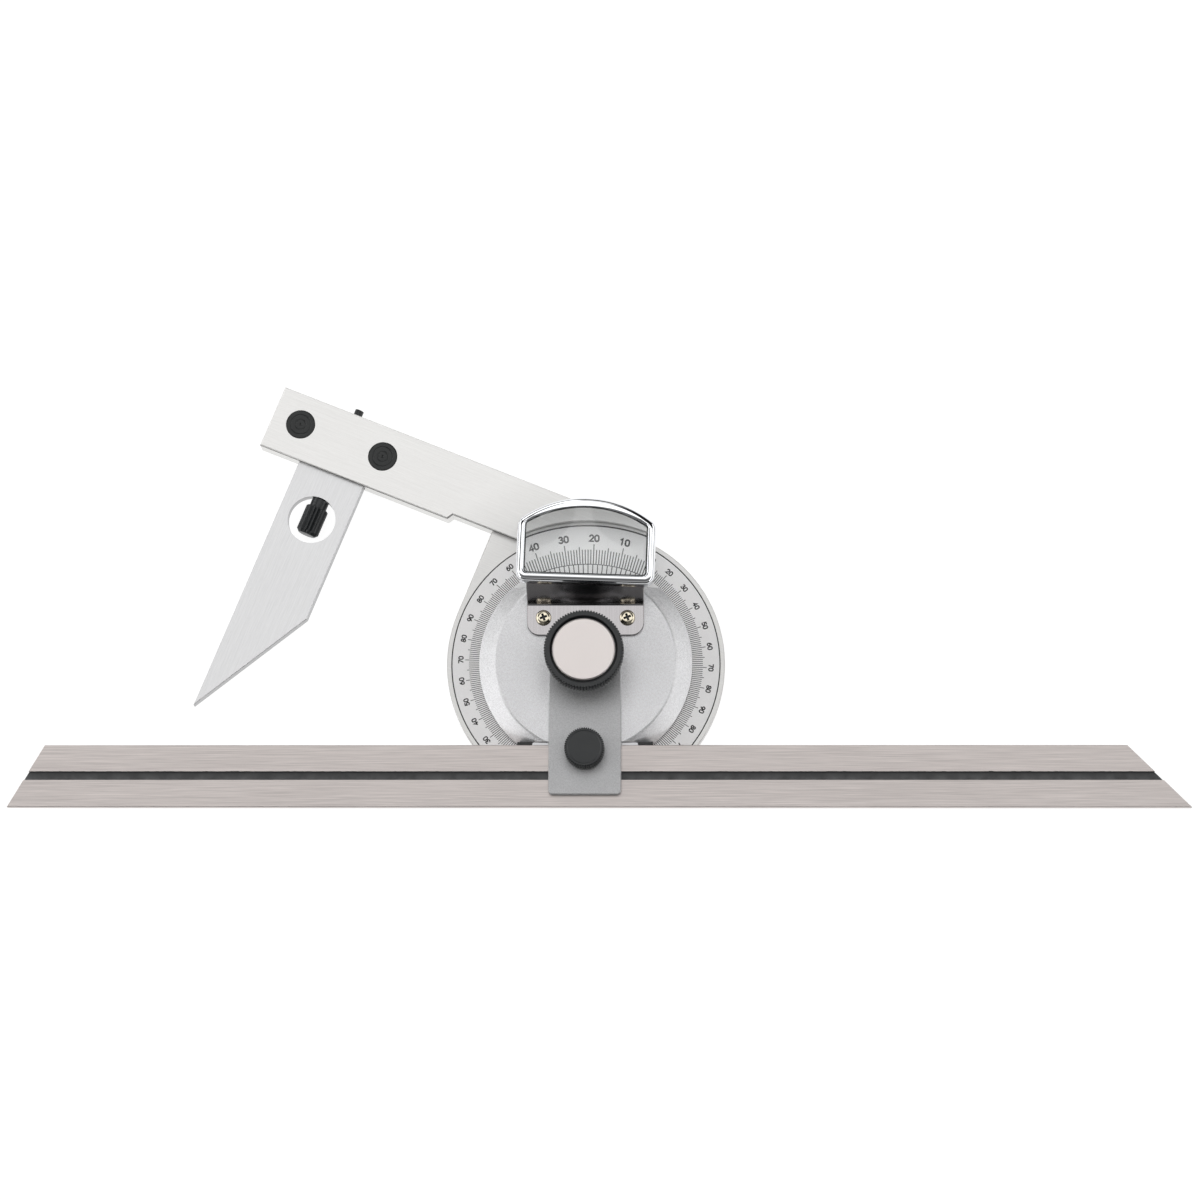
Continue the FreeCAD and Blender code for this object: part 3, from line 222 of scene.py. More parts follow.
def effect(name, inputs, outputs):
    """An empty node group with its sockets; an input without a value is a vector."""
    group = bpy.data.node_groups.new(name, "ShaderNodeTree")
    for socket, value in inputs.items():
        kind = "NodeSocketVector" if value is None else "NodeSocketFloat"
        made = group.interface.new_socket(socket, in_out="INPUT", socket_type=kind)
        if value is not None:
            made.default_value = value
    for socket in outputs:
        group.interface.new_socket(socket, in_out="OUTPUT", socket_type="NodeSocketFloat")
    return group, group.nodes.new("NodeGroupInput").outputs, group.nodes.new("NodeGroupOutput").inputs


def brushed_grain_effect():
    """Long fine scratches along one direction of the work."""
    inputs = {"Place": None, "Turn": 0.0, "Along": 40.0, "Across": 3000.0}
    group, given, result = effect("brushed_grain", inputs, ("Fine", "Broad"))
    inputs = {"Vector": given["Place"], "Angle": given["Turn"]}
    turned = put(group, "VectorRotate", inputs, rotation_type="Z_AXIS")
    for output, share, detail in (("Fine", 1.0, 3.0), ("Broad", 0.3, 2.0)):
        along = maths(group, "MULTIPLY", given["Along"], share)
        across = maths(group, "MULTIPLY", given["Across"], share)
        scales = put(group, "CombineXYZ", {"X": along, "Y": across, "Z": across})
        inputs = {0: turned, 1: scales}
        stretched = put(group, "VectorMath", inputs, operation="MULTIPLY")
        inputs = {"Vector": stretched, "Scale": 1.0, "Detail": detail, "Roughness": 0.62}
        scratches = put(group, "TexNoise", inputs)
        group.links.new(scratches.outputs["Fac"], result[output])


def speckle_effect():
    """Fine bright flakes over a slow cloudiness."""
    inputs = {"Place": None, "Flakes": 5200.0, "Clouds": 90.0}
    group, given, result = effect("fine_speckle", inputs, ("Flake", "Cloud"))
    cells = put(group, "TexVoronoi", {"Vector": given["Place"], "Scale": given["Flakes"]})
    grey = put(group, "SeparateColor", {"Color": cells.outputs["Color"]})
    clouds = noise(group, given["Place"], given["Clouds"], 3.0)
    group.links.new(grey.outputs["Red"], result["Flake"])
    group.links.new(clouds, result["Cloud"])


def turning_effect():
    """Tool marks round the dial's axis."""
    group, given, result = effect("turning_marks", {"Place": None, "Pitch": 0.0002}, ("Ring",))
    parts = split(group, given["Place"])
    flat = put(group, "CombineXYZ", {"X": parts["X"], "Y": parts["Y"]})
    radius = put(group, "VectorMath", {0: flat}, operation="LENGTH")
    turns = maths(group, "DIVIDE", radius.outputs["Value"], given["Pitch"])
    rings = put(group, "TexNoise", {"W": turns, "Scale": 1.0, "Detail": 2.0}, noise_dimensions="1D")
    group.links.new(rings.outputs["Fac"], result["Ring"])


def apply_effect(tree, name, inputs):
    """Place a shared effect in a material."""
    return put(tree, "Group", inputs, node_tree=bpy.data.node_groups[name]).outputs


def empty_tree(owner):
    """The emptied node tree of a material or a world."""
    owner.use_nodes = True
    owner.node_tree.nodes.clear()
    return owner.node_tree


def new_finish(name, metallic, roughness):
    """A material with its Principled shader and the place on the piece."""
    material = bpy.data.materials.new(name)
    tree = empty_tree(material)
    shader = put(tree, "BsdfPrincipled", {"Metallic": metallic, "Roughness": roughness})
    put(tree, "OutputMaterial", {"Surface": shader})
    place = put(tree, "TexCoord").outputs["Object"]
    return material, tree, shader, place


def feed(tree, shader, **values):
    """Link values to the shader's inputs of the same names."""
    for key, value in values.items():
        tree.links.new(value, shader.inputs[key.replace("_", " ").title()])


def set_relief(tree, shader, height, distance):
    """Feed a height to the shader's normal."""
    bump = put(tree, "Bump", {"Height": height, "Distance": distance, "Strength": 1.0})
    feed(tree, shader, normal=bump.outputs[0])


def brushed_finish(name, base, turn, along, across, roughness, contrast):
    """Steel with a brushed grain along one direction."""
    material, tree, shader, place = new_finish(name, 1.0, roughness)
    inputs = {"Place": place, "Turn": turn, "Along": along, "Across": across}
    grain = apply_effect(tree, "brushed_grain", inputs)
    level = spread(tree, mixture(tree, grain["Fine"], 0.8, grain["Broad"]), 0.0, 1.0, 0.32, 0.68)
    tone = blend(tree, level, shade(base, 1 - contrast), shade(base, 1 + contrast))
    dullness = spread(tree, grain["Fine"], roughness - 0.06, roughness + 0.08)
    feed(tree, shader, base_color=tone, roughness=dullness)
    set_relief(tree, shader, grain["Fine"], 0.000006)
    return material, tree, shader, place, tone


def shade_walls(tree, shader, tone, place, top, wall, line):
    """Painted shade: side walls darker than the top, and a dark line of painted shade under the upper edge.
    """
    steepness = 0.6
    line_above, line_below = top - 0.0009, top - 0.0011
    upright = split(tree, put(tree, "TexCoord").outputs["Normal"])["Z"]
    side = maths(tree, "LESS_THAN", maths(tree, "ABSOLUTE", upright), steepness)
    below = spread(tree, split(tree, place)["Z"], line, 1.0, line_above, line_below)
    # Painted shade: the walls take the wall share of the tone and, just under the upper edge, the line share
    painted_wall_shade = maths(tree, "MULTIPLY", below, wall)
    share = maths(tree, "ADD", maths(tree, "MULTIPLY", side, painted_wall_shade), maths(tree, "SUBTRACT", 1.0, side))
    feed(tree, shader, base_color=blend(tree, share, (0.0, 0.0, 0.0), tone))


def dull_ring(tree, tone, place):
    """The stock's steel, a little darker round the dial than along the bar: painted shade."""
    ring_edge, bar_start = 0.0375, 0.052
    radius = put(tree, "VectorMath", {0: place}, operation="LENGTH").outputs["Value"]
    # Painted shade: the tone falls to 0.84 round the dial and comes back to full along the bar
    return blend(tree, spread(tree, radius, 0.84, 1.0, ring_edge, bar_start), (0.0, 0.0, 0.0), tone)


def blade_finish(values):
    """Ground steel of the long blade with the dark scale left in its groove, and a painted shadow that
    darkens the groove towards its upper wall.
    """
    material, tree, shader, place, tone = brushed_finish(
        "ground_blade_steel", values.blade_steel, 0.0, 70.0, 4600.0, 0.42, 0.2)
    key_low, key_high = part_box("groove_key")
    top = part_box("long_blade")[1].z - 0.00002
    half_groove, half_floor, ragged = 0.0011, 0.00112, 0.00022
    parts = split(tree, place)
    wander = spread(tree, noise(tree, place, 900.0, 5.0), -ragged, ragged)
    below = maths(tree, "LESS_THAN", parts["Z"], top)
    across = maths(tree, "SUBTRACT", parts["Y"], (key_low.y + key_high.y) / 2)
    inside = maths(tree, "LESS_THAN", maths(tree, "ABSOLUTE", across), half_floor)
    from_edge = maths(tree, "ABSOLUTE", maths(tree, "SUBTRACT", across, half_groove))
    lip = maths(tree, "LESS_THAN", from_edge, wander)
    dirt = maths(tree, "MAXIMUM", maths(tree, "MULTIPLY", below, inside), lip)
    # Painted shadow: the groove's floor is darkest at its upper wall and lighter towards its lower wall
    painted_groove_shadow = spread(tree, across, 1.0, 0.0, -half_groove, half_groove)
    patches = spread(tree, noise(tree, place, 260.0, 6.0), 0.1, 1.0, 0.35, 0.65)
    grey = maths(tree, "MULTIPLY", painted_groove_shadow, patches)
    dark = blend(tree, grey, values.groove_dark, shade(values.groove_dark, 3.2))
    feed(tree, shader, base_color=blend(tree, dirt, tone, dark), metallic=spread(tree, dirt, 1.0, 0.0))
    return material


def speckled_finish(name, base, metallic, roughness, scales, flake_share, tones, dullness, relief=0.0):
    """Fine flakes over a slow cloudiness; dullness is its part of the speckle and its range."""
    material, tree, shader, place = new_finish(name, metallic, roughness)
    speck = apply_effect(tree, "fine_speckle", {"Place": place, "Flakes": scales[0], "Clouds": scales[1]})
    level = mixture(tree, speck["Flake"], flake_share, speck["Cloud"]) if flake_share else speck["Cloud"]
    part, low, high = dullness
    tone = blend(tree, level, shade(base, tones[0]), shade(base, tones[1]))
    feed(tree, shader, base_color=tone, roughness=spread(tree, speck[part], low, high))
    if relief:
        set_relief(tree, shader, speck["Flake"], relief)
    return material


def silver_finish(name, base):
    """Matt silver coating with a fine sparkle."""
    return speckled_finish(
        name, base, 0.9, 0.42, (5200.0, 70.0), 0.7, (0.78, 1.22), ("Flake", 0.34, 0.5), 0.000012)


def dial_finish(base):
    """Satin chrome of the dial: fine blasted texture with slow cloudiness."""
    return speckled_finish(
        "satin_dial", base, 0.8, 0.46, (9000.0, 60.0), 0.45, (0.93, 1.07), ("Cloud", 0.42, 0.52), 0.000005)


def turned_finish(name, base, pitch, metallic, roughness, contrast):
    """Metal or plastic with tool marks round the dial's axis."""
    material, tree, shader, place = new_finish(name, metallic, roughness)
    ring = apply_effect(tree, "turning_marks", {"Place": place, "Pitch": pitch})["Ring"]
    level = spread(tree, ring, 0.0, 1.0, 0.3, 0.7)
    tone = blend(tree, level, shade(base, 1 - contrast), shade(base, 1 + contrast))
    feed(tree, shader, base_color=tone, roughness=spread(tree, ring, roughness - 0.08, roughness + 0.08))
    set_relief(tree, shader, ring, 0.000008)
    return material


def moulded_finish(name, base, roughness):
    """Moulded or blackened surface with a faint mottle."""
    dullness = ("Cloud", roughness - 0.1, roughness + 0.1)
    return speckled_finish(name, base, 0.0, roughness, (7000.0, 240.0), 0.0, (0.7, 1.5), dullness, 0.000006)


def chrome_finish(name, base, roughness):
    """Polished plating with faint swirls."""
    dullness = ("Cloud", roughness * 0.5, roughness * 1.6)
    return speckled_finish(name, base, 1.0, roughness, (3000.0, 160.0), 0.0, (0.94, 1.05), dullness)


def sheet_finish(base):
    """Plated sheet of the bracket with a faint rolled grain."""
    material, tree, shader, place = new_finish("plated_sheet", 1.0, 0.14)
    inputs = {"Place": place, "Turn": pi / 2, "Along": 30.0, "Across": 2600.0}
    grain = apply_effect(tree, "brushed_grain", inputs)["Fine"]
    tone = blend(tree, grain, shade(base, 0.86), shade(base, 1.1))
    feed(tree, shader, base_color=tone, roughness=spread(tree, grain, 0.1, 0.18))
    set_relief(tree, shader, grain, 0.000012)
    return material


def lens_finish():
    """Clear lens that lets lamps and soft light through to the dial."""
    material, tree, shader = new_finish("clear_lens", 0.0, 0.0)[:3]
    output = shader.outputs[0].links[0].to_node
    shader.inputs["Transmission Weight"].default_value = 1.0
    shader.inputs["IOR"].default_value = 1.59
    shader.inputs["Base Color"].default_value = (0.985, 0.99, 0.99, 1.0)
    path = put(tree, "LightPath").outputs
    mirrored = maths(tree, "SUBTRACT", path["Is Glossy Ray"], path["Is Transmission Ray"])
    bounced = maths(tree, "MAXIMUM", path["Is Diffuse Ray"], mirrored)
    soft = maths(tree, "MAXIMUM", path["Is Shadow Ray"], bounced)
    clear = put(tree, "BsdfTransparent", {"Color": (0.96, 0.97, 0.97, 1.0)})
    mixed = put(tree, "MixShader", {0: soft, 1: shader, 2: clear})
    tree.links.new(mixed.outputs[0], output.inputs["Surface"])
    return material


def steel_finishes(values):
    """Brushed steels of the stock and of the acute-angle blade."""
    stock, tree, shader, place, tone = brushed_finish(
        "satin_bar_steel", values.bar_steel, SET_ANGLE, 180.0, 4600.0, 0.4, 0.06)
    # Painted shade: the bar darkens round the dial, its walls darken and a dark line runs under its upper
    # edge
    shade_walls(tree, shader, dull_ring(tree, tone, place), place, BAR_TOP, 0.9, 0.08)
    acute, tree, shader, place, tone = brushed_finish(
        "brushed_acute_steel", values.acute_steel, SET_ANGLE + pi / 2, 220.0, 5000.0, 0.38, 0.08)
    # Painted shade: the acute blade's walls are darker than its top, with no line
    shade_walls(tree, shader, tone, place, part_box("acute_blade")[1].z, 0.6, 1.0)
    return stock, acute


def make_finishes():
    """Every finish of the tool by the name of its slot."""
    values = settings("finish")
    stock, acute = steel_finishes(values)
    FINISHES.update({
        "stock_steel": stock,
        "acute_steel": acute,
        "blade_steel": blade_finish(values),
        "dial_satin": dial_finish(values.dial_chrome),
        "silver_paint": silver_finish("silver_coating", values.silver_coat),
        # Painted shade: the clamp plate takes a darker copy of the cover's silver
        "plate_silver_with_painted_shade": silver_finish("coating_with_painted_shade", values.plate_coat),
        "turned_steel": turned_finish("turned_steel", (0.55, 0.55, 0.56), 0.00028, 1.0, 0.32, 0.1),
        "bush_brass": turned_finish("turned_brass", (0.68, 0.5, 0.22), 0.00024, 1.0, 0.3, 0.12),
        "cap_satin": turned_finish("satin_cap", values.cap_metal, 0.0001, 0.85, 0.42, 0.02),
        "black_oxide": moulded_finish("blackened_steel", (0.008, 0.0095, 0.0095), 0.36),
        "knob_black": moulded_finish("moulded_black", values.knob_black, 0.32),
        "bright_chrome": chrome_finish("bright_plating", (0.86, 0.87, 0.89), 0.05),
        "sheet_chrome": sheet_finish(values.sheet_chrome),
        "screw_nickel": chrome_finish("nickel_plating", (0.72, 0.66, 0.52), 0.14),
        "lens_clear": lens_finish(),
        "enamel": moulded_finish("line_enamel", values.enamel_black, 0.5),
    })


FINISHES = {}
OWN_FINISH = {"magnifier_bracket": "sheet_chrome", "clamp_plate": "plate_silver_with_painted_shade"}


def add_object(name, data):
    """An object of the scene made from its data."""
    made = bpy.data.objects.new(name, data)
    bpy.context.scene.collection.objects.link(made)
    return made


def add_piece(name, points, faces, finish, body, stands_for=(), sharp=35.0, normals=None):
    """A mesh in the CAD frame, given its finish, its body and the nodes it stands for."""
    mesh = bpy.data.meshes.new(name)
    mesh.from_pydata([tuple(point) for point in points], [], faces)
    mesh.update()
    work = bmesh.new()
    work.from_mesh(mesh)
    if normals is None:
        bmesh.ops.recalc_face_normals(work, faces=work.faces)
    work.to_mesh(mesh)
    work.free()
    mesh.polygons.foreach_set("use_smooth", [True] * len(mesh.polygons))
    mesh.set_sharp_from_angle(angle=radians(sharp))
    if normals is not None:
        mesh.normals_split_custom_set_from_vertices([tuple(normal) for normal in normals])
    piece = add_object(name, mesh)
    mesh.materials.append(FINISHES[finish])
    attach(piece, body)
    if stands_for:
        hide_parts(*stands_for)
    return piece


def lathe(profile, flutes=0, plain_columns=96):
    """Turn a closed profile of (radius, height, depth of the flutes if any) in millimetres about Z."""
    if flutes:
        step = 2 * pi / flutes
        cuts = ((0.0, 1.0), (0.38, 0.0), (0.62, 0.0))
        columns = [((number + share) * step, cut) for number in range(flutes) for share, cut in cuts]
    else:
        columns = [(2 * pi * number / plain_columns, 0.0) for number in range(plain_columns)]
    points, rows, faces = [], [], []
    count = len(columns)
    for radius, height, *flute in profile:
        depth = flute[0] if flute else 0.0
        start = len(points)
        if radius < 1e-9:
            points.append(Vector((0, 0, height)) * MM)
            rows.append([start] * count)
            continue
        for angle, cut in columns:
            reach = radius - depth * cut
            points.append(Vector((reach * cos(angle), reach * sin(angle), height)) * MM)
        rows.append(range(start, start + count))
    pairs = list(zip(rows, rows[1:]))
    if profile[0][0] > 1e-9 and profile[-1][0] > 1e-9:
        pairs.append((rows[-1], rows[0]))
    for low, high in pairs:
        for at in range(count):
            after = (at + 1) % count
            face = list(dict.fromkeys((low[at], low[after], high[after], high[at])))
            if len(face) > 2:
                faces.append(face)
    return points, faces


def moved(points, matrix):
    """Points carried by a matrix."""
    return [matrix @ point for point in points]


def shift_to(node):
    """The shift from the dial's axis to the middle of a node."""
    low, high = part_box(node)
    centre = (low + high) / 2
    return Matrix.Translation((centre.x, centre.y, 0))


def ribbon(path, width, closed=False):
    """A flat stroke of constant width along points in a plane."""
    count = len(path)
    left, right = [], []
    for number, point in enumerate(path):
        before = path[number - 1] if number or closed else point
        after = path[(number + 1) % count] if number + 1 < count or closed else point
        first = (point - before).normalized() if (point - before).length > 1e-12 else None
        second = (after - point).normalized() if (after - point).length > 1e-12 else None
        along = ((first or second) + (second or first)).normalized()
        across = Vector((-along.y, along.x))
        reach = width / 2 / max(0.5, across.dot(Vector((-(first or second).y, (first or second).x))))
        left.append(point + across * reach)
        right.append(point - across * reach)
    points = left + right
    turns = count if closed else count - 1
    faces = [[at, count + at, count + (at + 1) % count, (at + 1) % count] for at in range(turns)]
    if not closed:
        for end, inner in ((0, 1), (count - 1, count - 2)):
            tip = path[end]
            out = (tip - path[inner]).normalized() * (width / 2)
            side = Vector((-out.y, out.x))
            rounding = [tip + out * sin(turn) + side * cos(turn) for turn in (0.6, 1.2, 1.94, 2.54)]
            cap = [tip + side, *rounding, tip - side]
            start = len(points)
            points += cap
            faces.append(list(range(start, start + len(cap))))
    return points, faces


def sweep(centre, reach, start, end, steps=10):
    """Points on an ellipse between two angles in degrees."""
    made = []
    for number in range(steps + 1):
        angle = radians(start + (end - start) * number / steps)
        made.append(Vector((centre[0] + reach[0] * cos(angle), centre[1] + reach[1] * sin(angle))))
    return made


def line(*corners):
    """Corner points of a straight stroke."""
    return [Vector(corner) for corner in corners]


def digit_strokes():
    """Single-line digits in a box one high; each stroke is its points and whether it closes."""
    oval = sweep((0.31, 0.69), (0.31, 0.31), 0, 180) + sweep((0.31, 0.31), (0.31, 0.31), 180, 360)
    loop = sweep((0.31, 0.31), (0.31, 0.31), 0, 342, 18)
    stem = sweep((0.62, 0.33), (0.62, 0.67), 180, 112, 8)
    flag = line((0.57, 1.0), (0.1, 1.0), (0.06, 0.56))
    six = [(loop, True), (stem, False)]
    nine = [([Vector((0.62, 1.0)) - point for point in stroke], shut) for stroke, shut in six]
    return {
        "0": [(oval, True)],
        "1": [(line((0.08, 0.78), (0.34, 1.0), (0.34, 0.0)), False)],
        "2": [(sweep((0.31, 0.7), (0.3, 0.3), 165, -35) + line((0.0, 0.0), (0.63, 0.0)), False)],
        "3": [
            (sweep((0.3, 0.755), (0.27, 0.245), 150, -90), False),
            (sweep((0.3, 0.265), (0.32, 0.265), 90, -150), False),
        ],
        "4": [(line((0.46, 0.0), (0.46, 1.0), (0.0, 0.28), (0.64, 0.28)), False)],
        "5": [(flag + sweep((0.3, 0.31), (0.32, 0.31), 112, -150), False)],
        "6": six,
        "7": [(line((0.0, 1.0), (0.62, 1.0), (0.24, 0.0)), False)],
        "8": [
            (sweep((0.31, 0.75), (0.26, 0.25), 0, 342, 18), True),
            (sweep((0.31, 0.25), (0.31, 0.25), 0, 342, 18), True),
        ],
        "9": nine,
    }


class MarkSheet:
    """Collects flat marks that lie on one face."""

    def __init__(self, height):
        self.height = height
        self.points = []
        self.faces = []

    def add(self, points, faces):
        """Take over marks drawn in the plane."""
        start = len(self.points)
        self.points += [Vector((point.x, point.y, self.height)) for point in points]
        self.faces += [[start + corner for corner in face] for face in faces]

    def tick(self, angle, inner, outer, width):
        """A radial line."""
        out = Vector((cos(angle), sin(angle)))
        side = Vector((-out.y, out.x)) * (width / 2)
        corners = [out * inner + side, out * inner - side, out * outer - side, out * outer + side]
        self.add(corners, [[0, 1, 2, 3]])

    def number(self, text, angle, radius, height, stroke):
        """A number with its head outward."""
        out = Vector((cos(angle), sin(angle)))
        side = Vector((out.y, -out.x))
        scale = height - stroke
        advance = scale * 0.89
        shift = -(advance * (len(text) - 1) + scale * 0.62) / 2
        strokes = digit_strokes()
        for position, digit in enumerate(text):
            for path, closed in strokes[digit]:
                placed = []
                for point in path:
                    across = shift + position * advance + point.x * scale
                    placed.append(out * (radius + (point.y - 0.5) * scale) + side * across)
                self.add(*ribbon(placed, stroke, closed))

    def finish(self, name, body):
        """Make the marks a piece with all its normals upward."""
        upward = [(0, 0, 1)] * len(self.points)
        add_piece(name, self.points, self.faces, "enamel", body, normals=upward)


def make_dial_marks():
    """Degree lines and numbers of the dial."""
    values = settings("scale")
    marks = MarkSheet(DIAL_TOP + MARK_LIFT)
    for degree in range(360):
        outer = values.tick_one
        if degree % 10 == 0:
            outer = values.tick_ten
        elif degree % 5 == 0:
            outer = values.tick_five
        angle = values.zero_angle + radians(degree)
        marks.tick(angle, values.tick_start, outer, values.tick_width)
    for degree in range(0, 360, 10):
        value = 90 - abs(degree % 180 - 90)
        angle = values.zero_angle + radians(degree)
        marks.number(str(value), angle, values.label_radius, values.digit_height, values.digit_stroke)
    marks.finish("dial_marks", "stock")


def make_vernier_marks():
    """Lines of the vernier and the thin dark arc along its edge, which paints the shade of the vernier
    plate's edge.
    """
    values = settings("scale")
    long_line, short_line = 0.0026, 0.0020
    marks = MarkSheet(VERNIER_TOP + MARK_LIFT)
    for number in range(-values.vernier_count, values.vernier_count + 1):
        angle = pi / 2 + number * values.vernier_step
        reach = long_line if number % 3 == 0 else short_line
        marks.tick(angle, values.vernier_edge - reach, values.vernier_edge, values.tick_width)
    # Painted shade: a thin dark arc along the vernier plate's edge
    turns = [radians(60 + 0.5 * at) for at in range(121)]
    arc = [Vector((cos(turn), sin(turn))) * values.vernier_edge for turn in turns]
    marks.add(*ribbon(arc, 0.8 * values.tick_width))
    marks.finish("vernier_marks", "turret")


def make_gap_filling():
    """Dark filling of the gap round the dial."""
    gap, foot, head = 0.29, 2.9, 3.7
    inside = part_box("dial_disc")[1].x / MM
    outside = inside + gap
    profile = [(inside, foot), (outside, foot), (outside, head), (inside, head)]
    points, faces = lathe(profile, plain_columns=256)
    add_piece("dial_gap_filling", points, faces, "enamel", "stock")


def make_wiper_strips():
    """Dark strips that fill the gap between cover and blade on either side of the blade's seat: painted shade
    of that deep gap.
    """
    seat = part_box("blade_seat")[1].x
    near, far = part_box("turret_cover")[0].y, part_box("long_blade")[1].y
    foot, head = VERNIER_TOP + 0.00004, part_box("long_blade")[1].z - 0.0004
    start, end = seat + 0.0001, seat + 0.0038
    # Painted shade: a dark block stands in each side of the gap
    for name, side in (("gap_shadow_strip_left", -1), ("gap_shadow_strip_right", 1)):
        ends = sorted((side * start, side * end))
        places = [(x, y, z) for z in (foot, head) for y in (far + 0.00012, near - 0.00004) for x in ends]
        faces = [[0, 1, 3, 2], [4, 5, 7, 6], [0, 1, 5, 4], [2, 3, 7, 6], [0, 2, 6, 4], [1, 3, 7, 5]]
        add_piece(name, line(*places), faces, "black_oxide", "turret")


def add_grip(node, profile, flutes, place, name, body, slot):
    """A fluted grip turned from its profile and put in its place."""
    points, faces = lathe(profile, flutes)
    add_piece(name, moved(points, place), faces, "knob_black", body, (node,), KNOB_SHARP)


def make_dial_knob():
    """Dial clamp knob: a neck, a fluted grip and a well for the cap."""
    values = settings("knob")
    low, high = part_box("dial_clamp_knob")
    foot, head = low.z / MM, high.z / MM
    depth = values.dial_depth / MM
    bore, neck, grip, well = 5.02, 7.0, 10.05, 8.2
    ring = head - 4.9
    floor = head - 1.3
    profile = [
        (bore, foot), (neck - 0.15, foot), (neck, foot + 0.15), (neck, ring - 0.3),
        (neck + 0.3, ring), (grip - 0.6, ring), (grip - 0.33, ring + 0.1), (grip, ring + 0.3, depth),
        (grip, head - 0.25, depth), (grip - 0.2, head - 0.04, depth * 0.85), (grip - 0.33, head, depth * 0.7),
        (grip - 0.9, head), (well + 0.42, head), (well + 0.3, head - 0.12), (well, head - 1.0),
        (well - 0.04, floor), (bore, floor),
    ]
    names = ("dial_knob_grip", "dial_knob", "knob_black")
    add_grip("dial_clamp_knob", profile, values.dial_flutes, Matrix(), *names)


def make_blade_knob():
    """Blade clamp knob: a fluted cylinder with a bore for its screw."""
    values = settings("knob")
    low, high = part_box("blade_clamp_knob")
    foot, head = low.z / MM, high.z / MM
    depth = values.lock_depth / MM
    bore, grip = 1.52, 5.05
    face, bore_end = head - 0.1, foot + 4.0
    profile = [
        (bore, foot), (grip - 0.5, foot), (grip - 0.27, foot + 0.12), (grip, foot + 0.3, depth),
        (grip, head - 0.25, depth), (grip - 0.17, head - 0.05, depth * 0.85),
        (grip - 0.27, head, depth * 0.7), (grip - 0.8, head), (grip - 0.95, face), (0.0, face),
        (0.0, bore_end), (bore, bore_end),
    ]
    names = ("blade_knob_grip", "lock_knob", "knob_black")
    add_grip("blade_clamp_knob", profile, values.lock_flutes, shift_to("blade_clamp_knob"), *names)


def make_thumb_screw():
    """Thumb screw of the acute-angle blade: fluted head, collar and shank through the bar."""
    values = settings("knob")
    depth = values.thumb_depth / MM
    grip, collar, shank = 2.95, 2.25, 1.15
    head_start, head_end, collar_end, tip = 4.677, 12.177, 14.377, 40.4
    beside_dial, mid_height = -80.25 * MM, 3.0 * MM
    profile = [
        (0.0, head_start), (grip - 1.0, head_start), (grip - 0.75, head_start + 0.053),
        (grip, head_start + 0.823, depth), (grip, head_end - 0.227, depth), (grip - 0.25, head_end),
        (collar, head_end), (collar, collar_end), (shank, collar_end), (shank, tip - 0.1),
        (shank - 0.1, tip), (0.0, tip),
    ]
    axis = Vector((sin(SET_ANGLE), cos(SET_ANGLE), 0))
    level = Vector((cos(SET_ANGLE), -sin(SET_ANGLE), 0))
    start = beside_dial * level + Vector((0, 0, mid_height))
    turn = Matrix((level, axis.cross(level), axis)).transposed().to_4x4()
    names = ("thumb_screw_grip", "thumbscrew", "black_oxide")
    add_grip("thumb_screw", profile, values.thumb_flutes, Matrix.Translation(start) @ turn, *names)


def make_pins():
    """Blackened locating pins with turned faces and a centre mark."""
    groove, ring, bevel = 2.6, 1.35, 0.25
    for node in ("locating_pin_outer", "locating_pin_inner"):
        low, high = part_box(node)
        top = high.z / MM
        rim = (high.x - low.x) / 2 / MM
        profile = [
            (0.0, 0.0), (rim - bevel, 0.0), (rim, bevel), (rim, top - 0.22),
            (rim - 0.12, top - 0.05), (rim - bevel, top), (groove + 0.15, top - 0.02),
            (groove, top - 0.09), (groove - 0.15, top - 0.03), (ring + 0.15, top - 0.02),
            (ring, top - 0.08), (ring - 0.15, top - 0.02), (0.4, top), (0.0, top - 0.4),
        ]
        points, faces = lathe(profile, plain_columns=72)
        points = moved(points, shift_to(node))
        add_piece(f"{node}_face", points, faces, "black_oxide", "stock", (node,), KNOB_SHARP)


def arch_outline(half, low, shoulder, rise, corner, shift, steps=14):
    """Points of an arched window outline, moved inward by a shift, in millimetres."""
    radius = (half * half + rise * rise) / (2 * rise)
    middle = shoulder + rise - radius
    high = middle + sqrt((radius - corner) ** 2 - (half - corner) ** 2)
    lean = atan2(high - middle, half - corner)
    arcs = [
        ((-half + corner, low + corner), corner, pi, 1.5 * pi, steps, 0),
        ((half - corner, low + corner), corner, 1.5 * pi, 2 * pi, steps, 0),
        ((half - corner, high), corner, 0.0, lean, steps, 0),
        ((0.0, middle), radius, lean, pi - lean, 4 * steps, 1),
        ((-half + corner, high), corner, pi - lean, pi, steps, 1),
    ]
    made = []
    for (across, up), reach, start, end, count, first in arcs:
        reach -= shift
        for number in range(first, count + 1):
            angle = start + (end - start) * number / count
            made.append(Vector((across + reach * cos(angle), up + reach * sin(angle))))
    return made


def skin(loops):
    """A closed skin through arched outlines of (shape, inward shift, height) in millimetres."""
    points, faces = [], []
    for shape, shift, height in loops:
        points += [Vector((point.x, point.y, height)) * MM for point in arch_outline(*shape, shift)]
    count = len(points) // len(loops)
    for row in range(len(loops)):
        after = (row + 1) % len(loops)
        for at in range(count):
            beside = (at + 1) % count
            faces.append((row * count + at, row * count + beside, after * count + beside, after * count + at))
    return moved(points, MAGNIFIER), faces


def quarter(radius, steps):
    """Distances from both tangents round a quarter of a circle."""
    turns = [pi / 2 * step / steps for step in range(steps + 1)]
    return [(radius * (1 - sin(turn)), radius * (1 - cos(turn))) for turn in turns]


